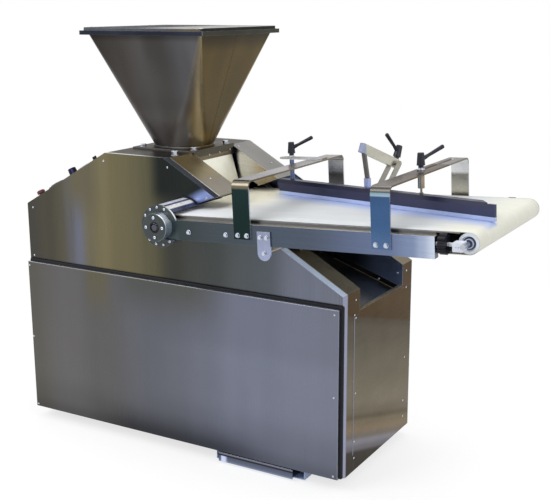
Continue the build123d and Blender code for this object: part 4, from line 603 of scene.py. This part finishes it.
# Painted reflection stripes round the tube, light and dark by the turn about the drive axis
tube_steel = bright(
    "tube_steel",
    ("turn", 0.0, HALF_TURN),
    [
        (0.00, (0.10, 0.11, 0.13)), (0.24, (0.05, 0.06, 0.12)), (0.29, (0.05, 0.06, 0.12)),
        (0.31, (0.95, 0.95, 0.92)), (0.37, (0.95, 0.96, 1.00)), (0.385, (0.06, 0.07, 0.19)),
        (0.41, (0.06, 0.07, 0.19)), (0.43, (0.85, 0.90, 1.00)), (0.500, (0.90, 0.95, 1.00)),
        (0.520, (0.03, 0.04, 0.11)), (0.585, (0.02, 0.03, 0.08)), (0.600, (0.65, 0.75, 1.00)),
        (0.66, (0.60, 0.70, 0.95)), (1.00, (0.10, 0.11, 0.12)),
    ],
    rough=0.25,
    rim=0.2,
    metal=0.15,
    flat=(0.30, 0.36, 0.52),
)
# Painted highlight on the upper right of the hub, by the turn about the drive axis, and painted reflection
# tones on its faces
hub_steel = bright(
    "hub_steel",
    ("turn", -HALF_TURN, HALF_TURN),
    [
        (0.00, (0.10, 0.12, 0.12)), (0.40, (0.20, 0.24, 0.30)), (0.48, (0.30, 0.36, 0.42)),
        (0.53, (0.40, 0.50, 0.60)), (0.58, (0.85, 0.92, 1.00)), (0.66, (0.80, 0.88, 1.00)),
        (0.72, (0.16, 0.19, 0.22)), (1.00, (0.10, 0.12, 0.12)),
    ],
    [((0.052, 0.062, 0.062), [NEAR_FULL]), ((0.085, 0.100, 0.098), [("ny", 0.8, 0.95)])],
    rough=0.22,
    rim=0.4,
    metal=0.5,
)
shaft_steel = bright(
    "shaft_steel",
    ("z", 0, 1200),
    [(0.0, (0.36, 0.37, 0.40)), (1.0, (0.40, 0.41, 0.44))],
    [
        ((0.105, 0.105, 0.130), [NEAR_FULL, ("y", -100, -150)]),
        ((0.006, 0.006, 0.012), [NEAR_FULL, ("y", -100, -150), ("hub", 11.0, 12.0)]),
    ],
    rough=0.26,
)
post_steel = bright(
    "post_steel",
    ("w", 80, 240),
    [(0.0, (0.16, 0.17, 0.17)), (1.0, (0.18, 0.20, 0.22))],
    [
        ((0.30, 0.25, 0.17), [("nx", 0.35, 0.55), ("u", 600, 620)]),
        ((0.13, 0.17, 0.30), [("u", 620, 600)]),
        ((0.62, 0.66, 0.74), [("w", 172.5, 174)]),
    ],
    rough=0.2,
    rim=0.5,
)
machined = bright(
    "machined_steel",
    ("z", 0, 1200),
    [(0.0, (0.40, 0.41, 0.43)), (1.0, (0.44, 0.45, 0.47))],
    rough=0.28,
)

# Cast iron, plastics, rubber and paint
cast = moulded(
    "cast_iron", (0.10, 0.10, 0.105),
    rough=0.5, scale=300, depth=0.3, worn=0.3, metal=0.8,
)
black = moulded("black_plastic", (0.004, 0.004, 0.010), rough=0.34, worn=0.08, shine=0.2)
glass_black = moulded(
    "display_glass", (0.010, 0.012, 0.020),
    rough=0.14, scale=60, depth=0.01, worn=0.05,
)
lever_black = moulded("lever_plastic", (0.007, 0.008, 0.020), rough=0.30, worn=0.1, shine=0.4)
fitting = moulded(
    "fitting_plastic",
    (0.30, 0.30, 0.31),
    [
        ((0.085, 0.083, 0.070), [("x", 200, 190)]),
        ((0.60, 0.65, 0.75), [("x", 240, 250), ("x", 320, 314)]),
        ((0.05, 0.05, 0.055), [("x", 314, 320)]),
    ],
    rough=0.42,
)
# Grey bezel with a painted white-blue highlight band across it
bezel_grey = moulded(
    "bezel_plastic",
    (0.085, 0.083, 0.070),
    [((0.75, 0.82, 0.95), [("x", 104, 110), ("x", 124, 119)])],
    rough=0.40,
    scale=700,
    depth=0.05,
)
# Black knob with a painted blue-violet highlight down its near side
knob_black = moulded(
    "knob_plastic",
    (0.004, 0.004, 0.010),
    [((0.045, 0.042, 0.190), [("nx", 0.24, 0.36), ("nx", 0.66, 0.54), ON_NEAR])],
    rough=0.34,
    worn=0.08,
    shine=0.2,
)
red = moulded("red_plastic", (0.12, 0.020, 0.026), rough=0.34, scale=700, depth=0.05, worn=0.05)
cream = moulded(
    "cream_plastic", (1.0, 0.99, 0.84),
    rough=0.42, scale=500, depth=0.06, worn=0.05, metal=0.85,
)
white = moulded("white_plastic", (0.80, 0.84, 0.97), rough=0.35, scale=600, depth=0.06, worn=0.1)
cap_white = moulded(
    "cap_plastic",
    (0.82, 0.88, 0.98),
    [
        ((0.030, 0.040, 0.100), [("reach", 22, 20)]),
        ((0.550, 0.600, 0.750), [("reach", 16.5, 15.5), ("reach", 12.0, 13.0)]),
    ],
    rough=0.30,
    scale=600,
    depth=0.05,
    worn=0.1,
)
strip_white = moulded(
    "strip_plastic", (0.52, 0.62, 0.93),
    rough=0.35, scale=600, depth=0.06, worn=0.1,
)
rubber = moulded(
    "seal_rubber", (0.006, 0.007, 0.012),
    rough=0.5, scale=1100, depth=0.2, worn=0.08, shine=0.25,
)
motor_paint = moulded("motor_paint", (0.09, 0.13, 0.17), rough=0.35, scale=350, depth=0.15, worn=0.3)
# Frame paint with a painted blue highlight on what lies below the panels' bottom edge
frame_paint = moulded(
    "frame_paint",
    (0.17, 0.18, 0.19),
    [((0.50, 0.64, 0.96), [("z", 0, -2)])],
    rough=0.42,
    scale=350,
    depth=0.15,
    worn=0.3,
)
coating = moulded(
    "guide_coating",
    (0.034, 0.038, 0.082),
    [((0.011, 0.013, 0.038), [("nz", 0.3, 0.5)]), (1.35, [("u", 600, 1000)])],
    rough=0.36,
    scale=650,
    depth=0.08,
    worn=0.10,
    shine=0.3,
)

# The solids' materials
dress(side_steel, "near_side_panel", "far_side_panel")
dress(cover_steel, "service_cover")
dress(end_steel, "end_panel", "near_lower_cover", "far_lower_cover")
dress(trough_steel, "trough_floor")
dress(tray_steel, "drip_tray")
dress(hood_steel, "near_upper_cover", "far_upper_cover")
dress(roof_steel, "top_plate", "control_panel", "hopper_base")
dress(rear_steel, "rear_panel")
dress(hopper_steel, "hopper")
dress(rail_steel, "near_rail", "far_rail")
dress(left_bridge_steel, "left_bridge")
dress(right_bridge_steel, "right_bridge")
dress(lug_steel, "support_stay")
dress(arm_steel, "bracket_arm")
dress(link_steel, "bracket_links")
dress(inner_steel, "slider_bed")
dress(grid_steel, "hopper_grid")
dress(turned, "end_axle", "hopper_bolts")
dress(bolt_steel, "conveyor_bolts")
dress(tube_steel, "mounting_tube")
dress(hub_steel, "bearings")
dress(post_steel, "left_post", "right_post")
dress(machined, "levelling_feet", "side_plates", "main_piston", "knife_plate", "measuring_drum")
dress(machined, "drive_sprocket", "drive_chain")
dress(shaft_steel, "drive_roller")
dress(cap_white, "end_roller")
dress(cast, "chamber_block")
dress(black, "cable_gland", "selector_switch", "near_star_knob", "far_star_knob")
dress(knob_black, "setting_knob")
dress(lever_black, "left_lever", "middle_lever", "right_lever")
dress(fitting, "control_fittings")
dress(red, "emergency_button")
dress(cream, "front_plate")
dress(white, "measuring_pistons", "take_up_blocks")
dress(strip_white, "guide_strip")
dress(rubber, "cover_seal")
dress(motor_paint, "gearmotor")
dress(frame_paint, "base_frame")
dress(coating, "guide_bar")


# Pieces made here
def piece(name, bm, mat, body="machine", smooth=True):
    bmesh.ops.recalc_face_normals(bm, faces=bm.faces)
    mesh = bpy.data.meshes.new(name)
    bm.to_mesh(mesh)
    bm.free()
    for face in mesh.polygons:
        face.use_smooth = smooth
    mesh.materials.append(mat)
    obj = bpy.data.objects.new(name, mesh)
    scene.collection.objects.link(obj)
    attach(obj, body)
    return obj


def ring(bm, centre, x_dir, y_dir, radius, lift, count, sides=0):
    """Circle of vertices, or a polygon with that many sides."""
    up = x_dir.cross(y_dir)
    verts = []
    for i in range(count):
        angle = 2 * pi * i / count
        reach = radius
        if sides:
            part = 2 * pi / sides
            reach = radius * cos(part / 2) / cos((angle % part) - part / 2)
        place = centre + x_dir * (reach * cos(angle)) + y_dir * (reach * sin(angle)) + up * lift
        verts.append(bm.verts.new(place))
    return verts


def skin(bm, first, second):
    count = len(first)
    for i in range(count):
        bm.faces.new((first[i], first[(i + 1) % count], second[(i + 1) % count], second[i]))


def capped(bm, rings):
    """Skin along a row of rings, with a face over each end."""
    for first, second in zip(rings, rings[1:]):
        skin(bm, first, second)
    bm.faces.new(rings[-1])
    bm.faces.new(rings[0][::-1])


def endless(bm, rings):
    """Skin along a row of rings that comes back to its first."""
    for first, second in zip(rings, rings[1:] + rings[:1]):
        skin(bm, first, second)


def turned_body(bm, centre, normal, steps, count=12):
    """Closed body of rings along a direction: each step is a radius, a lift and a number of sides."""
    x_dir = normal.orthogonal().normalized()
    y_dir = normal.normalized().cross(x_dir)
    rings = []
    for radius, lift, sides in steps:
        rings.append(ring(bm, centre, x_dir, y_dir, radius, lift, count, sides))
    capped(bm, rings)


# Metres that heads stand in their sheet, and the heights of a washer's bevel
SUNK, WASHER_EDGE, WASHER_TOP = 0.0003, 0.0009, 0.0013


def screw(bm, centre, normal, radius=0.0042):
    """Domed screw with a hexagon socket, standing on a face."""
    steps = [(radius, -SUNK, 0)]
    for share, lift in ((1.0, 0.12), (0.97, 0.32), (0.84, 0.48), (0.66, 0.56)):
        steps.append((radius * share, radius * lift, 0))
    steps += [(radius * 0.5, radius * 0.58, 6), (radius * 0.46, radius * 0.2, 6)]
    turned_body(bm, centre, normal, steps)


def hex_bolt(bm, centre, normal, radius, tall):
    """Hexagon head with a chamfered top on a washer."""
    wide = radius * 1.22
    washer = [(wide, -SUNK, 0), (wide, WASHER_EDGE, 0), (radius * 1.16, WASHER_TOP, 0)]
    head = [(radius, WASHER_TOP, 6), (radius, tall * 0.80, 6), (radius * 0.96, tall * 0.88, 6)]
    top = [(radius * 0.84, tall, 0), (radius * 0.5, tall, 0)]
    turned_body(bm, centre, normal, washer + head + top, 24)


# Screws of the panels; those of the far side and the rear follow the near side
heads = bmesh.new()
for x, z in ((30, 873), (22, 669), (415, 1094), (721, 1091)):
    screw(heads, at(x, 0, z), NEAR_OUT)
    screw(heads, at(x, BODY_DEEP, z), FAR_OUT)
for x, z in ((13, 630), (12, 318), (15, 12), (1440, 627), (1440, 318), (1440, 14)):
    screw(heads, at(x, COVER_FACE, z), NEAR_OUT)
    screw(heads, at(x, BODY_DEEP, z), FAR_OUT)
END_NEAR = ((80, 661), (70, 607), (81, 594), (85, 305), (80, 118), (81, 52))
END_FAR = ((536, 665), (536, 597), (537, 306), (533, 121), (535, 52))
for y, z in END_NEAR + END_FAR:
    screw(heads, at(BODY_LONG, y, z), FRONT_OUT)
for y, z in ((60, 860), (544, 860), (60, 450), (544, 450), (60, 40), (544, 40)):
    screw(heads, at(0, y, z), REAR_OUT)
for x, y in ((859, 82), (742, 468), (861, 532)):
    screw(heads, at(x, y, ROOF - (x - HOOD_START) * HOOD_FALL), SLOPE_OUT)
for y, z in ((170, 1113), (182, 1106), (263, 1106), (337, 1108), (413, 1110)):
    screw(heads, at(LIP_FACE, y, z), FRONT_OUT, 0.0034)
for x, y, z, radius in ((1451, 500, 661, 0.0042), (895, 0, 989, 0.0042), (1372, 498, 627, 0.0055)):
    screw(heads, at(x, y, z), NEAR_OUT, radius)
for u in (1132, 1141):
    for v, way in ((-TAKE_UP_FACE, NEAR_OUT), (TAKE_UP_FACE, FAR_OUT)):
        screw(heads, deck(u, v, -1), way, 0.0024)
piece("panel_screws", heads, turned)

# Bolts of the conveyor: round the flange and the hub, along the rails, on the bridges' feet and the lugs
FLANGE_CIRCLE, HUB_CIRCLE = 69, 36
RAIL_BOLT = (0.0075, 0.007)
bolts = bmesh.new()
for start in (66, 228):
    for step in range(4):
        angle = radians(start + 27 * step)
        place = deck(FLANGE_CIRCLE * cos(angle), -FLANGE_FACE, FLANGE_CIRCLE * sin(angle))
        screw(bolts, place, NEAR_OUT, 0.0055)
for step in range(4):
    angle = radians(90 * step)
    place = deck(HUB_CIRCLE * cos(angle), -HUB_FACE, HUB_CIRCLE * sin(angle))
    screw(bolts, place, NEAR_OUT, 0.0065)
for u in (124, 282):
    hex_bolt(bolts, deck(u, -RAIL_FACE, -17), NEAR_OUT, *RAIL_BOLT)
for centre in (353, 876):
    for u in (centre - 18, centre + 18):
        hex_bolt(bolts, deck(u, -BRIDGE_FACE, -14), NEAR_OUT, *RAIL_BOLT)
        hex_bolt(bolts, deck(u, BRIDGE_FACE, -14), FAR_OUT, *RAIL_BOLT)
for u, w in ((425, -16.5), (451, -16.5), (438, -72)):
    hex_bolt(bolts, deck(u, -BRIDGE_FACE, w), NEAR_OUT, *RAIL_BOLT)
hex_bolt(bolts, deck(438, BRIDGE_FACE, -16.5), FAR_OUT, *RAIL_BOLT)
bolt_piece = piece("conveyor_fasteners", bolts, bolt_steel, smooth=False)
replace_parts(bolt_piece, "conveyor_bolts")

# Bolts of the hopper's foot and the taller one beside it
foot_bolts = bmesh.new()
for x, y in ((711.5, 187), (711.5, 417), (475.5, 178), (475.5, 426)):
    hex_bolt(foot_bolts, at(x, y, HOPPER_BASE_TOP), TOP_OUT, 0.0115, 0.012)
hex_bolt(foot_bolts, at(701, 76, ROOF), TOP_OUT, 0.0125, 0.019)
foot_piece = piece("hopper_fasteners", foot_bolts, turned, smooth=False)
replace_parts(foot_piece, "hopper_bolts")

# Lapped edge of the end sheet beside the near arm
LAP_FOOT, LAP_TALL = 66, 533
LAP_SECTION = ((69, -0.3), (69, 0.7), (69.6, 1.1), (71.6, 1.1), (72.6, -0.3))
lap = bmesh.new()
lap_rows = []
for i in range(13):
    z = LAP_FOOT + LAP_TALL * i / 12
    lap_rows.append([lap.verts.new(at(BODY_LONG + out, y, z)) for y, out in LAP_SECTION])
capped(lap, lap_rows)
piece("end_lap", lap, lap_steel, smooth=False)

# Weld bead down the front of the hopper
HOPPER_MIDDLE = 302
SEAM_FOOT, SEAM_RUN, SEAM_OUT = (703.6, 1138.6), (147.0, 435.6), (0.9476, -0.3197)
seam = bmesh.new()
seam_rows = []
for i in range(25):
    share = i / 24
    centre = at(SEAM_FOOT[0] + SEAM_RUN[0] * share, HOPPER_MIDDLE, SEAM_FOOT[1] + SEAM_RUN[1] * share)
    crown = 0.75 + 0.1 * sin(i * 2.3)
    row = []
    for side, lift in ((-1.6, -0.2), (-1.0, 0.45), (0.0, crown), (1.0, 0.45), (1.6, -0.2)):
        offset = Vector((SEAM_OUT[0] * lift, side, SEAM_OUT[1] * lift))
        row.append(seam.verts.new(centre + offset / 1000))
    seam_rows.append(row)
capped(seam, seam_rows)
piece("hopper_seam", seam, seam_steel)

# Rubber seal round the service cover
SEAL_LEFT, SEAL_RIGHT, SEAL_FOOT, SEAL_TOP, SEAL_ROUND = 3, 1468, 0, 657.5, 7.0
SEAL_SECTION = (
    (0, 0), (0, 5), (0.9, 7.6), (2.6, 9.3), (5, 10), (25, 10), (29, 9), (30, 7), (30, 0),
)
SEAL_CORNERS = (
    (SEAL_RIGHT, SEAL_TOP, -1, -1), (SEAL_LEFT, SEAL_TOP, 1, -1),
    (SEAL_LEFT, SEAL_FOOT, 1, 1), (SEAL_RIGHT, SEAL_FOOT, -1, 1),
)
seal = bmesh.new()
seal_rings = []
for inset, depth in SEAL_SECTION:
    corner_round = max(SEAL_ROUND - inset, 0.5)
    inward = inset + corner_round
    verts = []
    for corner, (x, z, into_x, into_z) in enumerate(SEAL_CORNERS):
        for step in range(5):
            angle = radians(90 * corner + 22.5 * step)
            round_x, round_z = corner_round * cos(angle), corner_round * sin(angle)
            place = at(x + into_x * inward + round_x, -depth, z + into_z * inward + round_z)
            verts.append(seal.verts.new(place))
    seal_rings.append(verts)
endless(seal, seal_rings)
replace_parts(piece("cover_gasket", seal, rubber), "cover_seal")

# Shaft seal in the hub's face
LIP_SECTION = (
    (15.4, 395.2), (15.4, 397.4), (16.4, 398.3), (18.2, 398.6), (20.0, 398.3), (20.9, 397.4), (20.9, 395.2),
)
lip = bmesh.new()
lip_rings = []
for radius, out in LIP_SECTION:
    lip_rings.append(ring(lip, deck(0, -out, 0), ALONG, UPWARD, radius / 1000, 0.0, 40))
endless(lip, lip_rings)
piece("shaft_seal", lip, rubber)

# Dark rubber ring round the mounting tube where it enters the near panel: a seal, and painted shade that
# fills the dark gap there
GAP_RING_START, GAP_RING_SWEEP = 46, 268
GAP_RING_SECTION = (
    (78.4, -0.4), (78.4, 5.0), (79.6, 6.6), (81.4, 7.0), (83.2, 6.4), (84.2, 4.6), (84.2, -0.4),
)
gap_ring = bmesh.new()
gap_ring_rows = []
for i in range(41):
    angle = radians(GAP_RING_START + GAP_RING_SWEEP * i / 40)
    row = []
    for radius, out in GAP_RING_SECTION:
        place = deck(radius * cos(angle), -DRIVE.y - out, radius * sin(angle))
        row.append(gap_ring.verts.new(place))
    gap_ring_rows.append(row)
capped(gap_ring, gap_ring_rows)
piece("tube_seal_and_gap_shade", gap_ring, rubber)

# Threads of the take-up studs
STUD_START, STUD_OUT, PITCH = 1095.5, 347, 2.3
THREAD_SECTION = ((6.05, 0.0), (6.75, 0.9), (6.75, 1.2))
thread = bmesh.new()
for v in (-STUD_OUT, STUD_OUT):
    steps = []
    for turn in range(11):
        u = STUD_START + PITCH * turn
        for radius, out in THREAD_SECTION:
            steps.append((radius / 1000, (u + out - STUD_START) / 1000, 0))
    turned_body(thread, deck(STUD_START, v, 0), ALONG, steps, 20)
piece("stud_threads", thread, turned)

# Display window and its bezel on the sloping control panel: the middle, and half the straight sides
DISPLAY_X, DISPLAY_Y = 104, 130
DISPLAY_CORNERS = ((17, 47), (-17, 47), (-17, -47), (17, -47))


def display_ring(bm, grow, lift):
    """Rounded rectangle that much wider all round than the straight sides, over the control panel."""
    verts = []
    for corner, (half_long, half_wide) in enumerate(DISPLAY_CORNERS):
        for step in range(4):
            angle = radians(90 * corner + 30 * step)
            a, b = half_long + grow * cos(angle), half_wide + grow * sin(angle)
            foot = at(DISPLAY_X, DISPLAY_Y + b, CONTROL_FOOT + CONTROL_RISE * DISPLAY_X)
            place = foot + CONTROL_OUT * (lift / 1000) + CONTROL_ALONG * (a / 1000)
            verts.append(bm.verts.new(place))
    return verts


WINDOW_STEPS = ((4.0, 18.8), (4.0, 19.6), (3.2, 20.1), (1.5, 20.3))
window = bmesh.new()
capped(window, [display_ring(window, grow, lift) for grow, lift in WINDOW_STEPS])
piece("display_window", window, glass_black)

BEZEL_STEPS = ((17.2, 18.8), (16.6, 21.8), (15.2, 22.8), (8.4, 22.8), (5.6, 21.4), (4.6, 18.8))
bezel = bmesh.new()
endless(bezel, [display_ring(bezel, grow, lift) for grow, lift in BEZEL_STEPS])
piece("display_bezel", bezel, bezel_grey)


def belt():
    """Endless belt: a thin sheet round both rollers, flat on the bed and sagging a little underneath."""
    radius, span, half, thick, sag = BELT_RADIUS, ROLLER_SPAN, BELT_HALF, 2.0, 4.0
    path = []
    for i in range(48):
        u = span * i / 48
        path.append((u, radius + 0.25 * sin(pi * i / 48) ** 2 * (1 + sin(i * 1.7)) / 2, 0.0, 1.0))
    for i in range(24):
        a = pi / 2 - pi * i / 24
        path.append((span + radius * cos(a), radius * sin(a), cos(a), sin(a)))
    for i in range(48):
        u = span * (1 - i / 48)
        path.append((u, -radius - sag * sin(pi * i / 48), 0.0, -1.0))
    for i in range(24):
        a = -pi / 2 - pi * i / 24
        path.append((radius * cos(a), radius * sin(a), cos(a), sin(a)))
    section = [(-half, -0.5), (-half, 0.5), (-half + 0.7, 1.0)]
    section += [(-half + 2 * half * i / 8, 1.0) for i in range(1, 8)]
    section += [(half - 0.7, 1.0), (half, 0.5), (half, -0.5), (half - 0.7, -1.0)]
    section += [(half - 2 * half * i / 8, -1.0) for i in range(1, 8)]
    section += [(-half + 0.7, -1.0)]
    bm = bmesh.new()
    loops = []
    for u, w, out_u, out_w in path:
        row = []
        for v, side in section:
            lift = side * thick / 2
            row.append(bm.verts.new(deck(u + out_u * lift, v, w + out_w * lift)))
        loops.append(row)
    endless(bm, loops)
    return bm


def belt_cloth():
    """Coated cloth, cooler in the middle and creamier over the end roller, with painted light: lighter,
    creamier patches at the drive end where it lies in shade, a painted reflection of the foot strip in
    front of the guide, and painted shade along the far edge and where it turns under the end roller.
    """
    mat, nt = material("belt_cloth")
    place, found = measures(nt)
    sockets = {"Vector": place, "Scale": 260.0}
    weave_x, weave_y = (
        put(nt, "ShaderNodeTexWave", sockets, bands_direction=way).outputs["Fac"] for way in "XY"
    )
    weave = calc(nt, "ADD", weave_x, weave_y)
    cloud = noise(nt, place, (3, 5, 3), 3.0, 0.6)
    track = noise(nt, place, (1.2, 60, 1.2), 2.0, 0.5)
    tone = ramp(nt, cloud, [(0.3, (0.68, 0.71, 0.73)), (0.7, (0.74, 0.77, 0.79))])
    # Painted light on the belt: lighter patches at the drive end, a painted reflection of the foot strip,
    # and painted shade along the far edge and under the end roller's turn
    tone = zoned(nt, found, tone, [
        ((0.84, 0.84, 0.73), [("u", 960, 1150)]),
        ((0.93, 0.95, 0.98), [("u", 330, 120), ("v", -60, -220)]),
        ((0.97, 0.94, 0.78), [("u", 330, 160), ("v", -200, 0)]),
        ((0.47, 0.56, 0.86), [("s", -115, -5), ("s", 30, 10), ("u", 170, 260), ("w", 20, 30)]),
        ((0.42, 0.40, 0.37), [("v", 314, 319)]),
        ((0.50, 0.43, 0.32), [("w", -16, -36), ("u", 1110, 1150)]),
    ])
    tone = scaled(nt, tone, spread(nt, track, 0.97, 1.02))
    gloss = spread(nt, cloud, 0.42, 0.55)
    bump = put(nt, "ShaderNodeBump", {"Height": weave, "Strength": 0.10, "Distance": 0.0003})
    return finish(mat, nt, {"Base Color": tone, "Roughness": gloss, "Normal": bump.outputs[0]})


belt_piece = piece("belt", belt(), belt_cloth())
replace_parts(belt_piece, "conveyor_belt")


# Backdrop: white to the camera and in reflections, with the floor keeping the shadow
def ray_kind(nt):
    """One for a ray that is seen, straight, mirrored or through glass, and nothing for one that lights."""
    light = put(nt, "ShaderNodeLightPath")
    seen = calc(nt, "MAXIMUM", light.outputs["Is Camera Ray"], light.outputs["Is Glossy Ray"])
    return calc(nt, "MAXIMUM", seen, light.outputs["Is Transmission Ray"])


world = bpy.data.worlds.new("studio")
scene.world = world
world.use_nodes = True
sky = world.node_tree
sky.nodes.clear()
soft = put(sky, "ShaderNodeBackground", {"Color": (1, 1, 1, 1), "Strength": 0.55})
plain = put(sky, "ShaderNodeBackground", {"Color": (1, 1, 1, 1), "Strength": 1.0})
both = put(sky, "ShaderNodeMixShader", {0: ray_kind(sky), 1: soft.outputs[0], 2: plain.outputs[0]})
put(sky, "ShaderNodeOutputWorld", {0: both.outputs[0]})

# Metres from the middle over which the floor fades out, and the radii of its rings
FLOOR_FADE, FLOOR_RADII = (1.5, 3.6), (1.0, 2.0, 3.0, 4.0)
floor_mat, floor_nt = material("floor")
spot = put(floor_nt, "ShaderNodeTexCoord").outputs["Object"]
reach = length(floor_nt, spot)
paper = put(floor_nt, "ShaderNodeBsdfDiffuse", {"Color": (0.9, 0.9, 0.9, 1)})
glow = put(floor_nt, "ShaderNodeEmission", {"Color": (1, 1, 1, 1), "Strength": 1.3})
clear = put(floor_nt, "ShaderNodeBsdfTransparent")
lifted = calc(floor_nt, "MULTIPLY", ray_kind(floor_nt), 0.55)
lit = put(floor_nt, "ShaderNodeMixShader", {0: lifted, 1: paper.outputs[0], 2: glow.outputs[0]})
fade = remap(floor_nt, reach, *FLOOR_FADE)
ground = put(floor_nt, "ShaderNodeMixShader", {0: fade, 1: lit.outputs[0], 2: clear.outputs[0]})
put(floor_nt, "ShaderNodeOutputMaterial", {0: ground.outputs[0]})
floor_bm = bmesh.new()
floor_rings = [ring(floor_bm, Vector(), FRONT_OUT, FAR_OUT, radius, 0.0, 48) for radius in FLOOR_RADII]
for inner, outer in zip(floor_rings, floor_rings[1:]):
    skin(floor_bm, inner, outer)
floor_bm.faces.new(floor_rings[0])
floor_mesh = bpy.data.meshes.new("floor")
floor_bm.to_mesh(floor_mesh)
floor_bm.free()
floor_mesh.materials.append(floor_mat)
floor = bpy.data.objects.new("floor", floor_mesh)
scene.collection.objects.link(floor)


def lamp(name, place, target, size, power):
    """Square soft light, in metres and watts."""
    data = bpy.data.lights.new(name, "AREA")
    data.shape = "RECTANGLE"
    data.size = data.size_y = size
    data.energy = power
    obj = bpy.data.objects.new(name, data)
    obj.location = place
    obj.rotation_euler = (Vector(target) - Vector(place)).to_track_quat("-Z", "Y").to_euler()
    scene.collection.objects.link(obj)


lamp("key", (-1.8, -3.2, 3.8), (0, 0, 0.8), 2.4, 70)
lamp("fill", (3.4, -0.6, 2.6), (0, 0, 0.8), 2.0, 18)
lamp("top", (0.2, 0.6, 4.6), (0, 0.1, 0.8), 3.0, 50)

# Camera at the photo's viewpoint, fitted to the body's and the conveyor's edges
EYE = (1.98543, -3.26030, 1.73030)
azimuth, elevation, roll = radians(30.19), radians(13.56), radians(-0.25)
back = Vector((sin(azimuth) * cos(elevation), -cos(azimuth) * cos(elevation), sin(elevation)))
right = Vector((cos(azimuth), sin(azimuth), 0))
up = back.cross(right)
view_x = right * cos(roll) + up * sin(roll)
view_y = up * cos(roll) - right * sin(roll)
camera_data = bpy.data.cameras.new("camera")
camera_data.sensor_fit = "HORIZONTAL"
camera_data.sensor_width = 36.0
camera_data.lens = 66.355
camera = bpy.data.objects.new("camera", camera_data)
facing = Matrix((view_x, view_y, back)).transposed().to_4x4()
camera.matrix_world = Matrix.Translation(EYE) @ facing
scene.collection.objects.link(camera)
scene.camera = camera
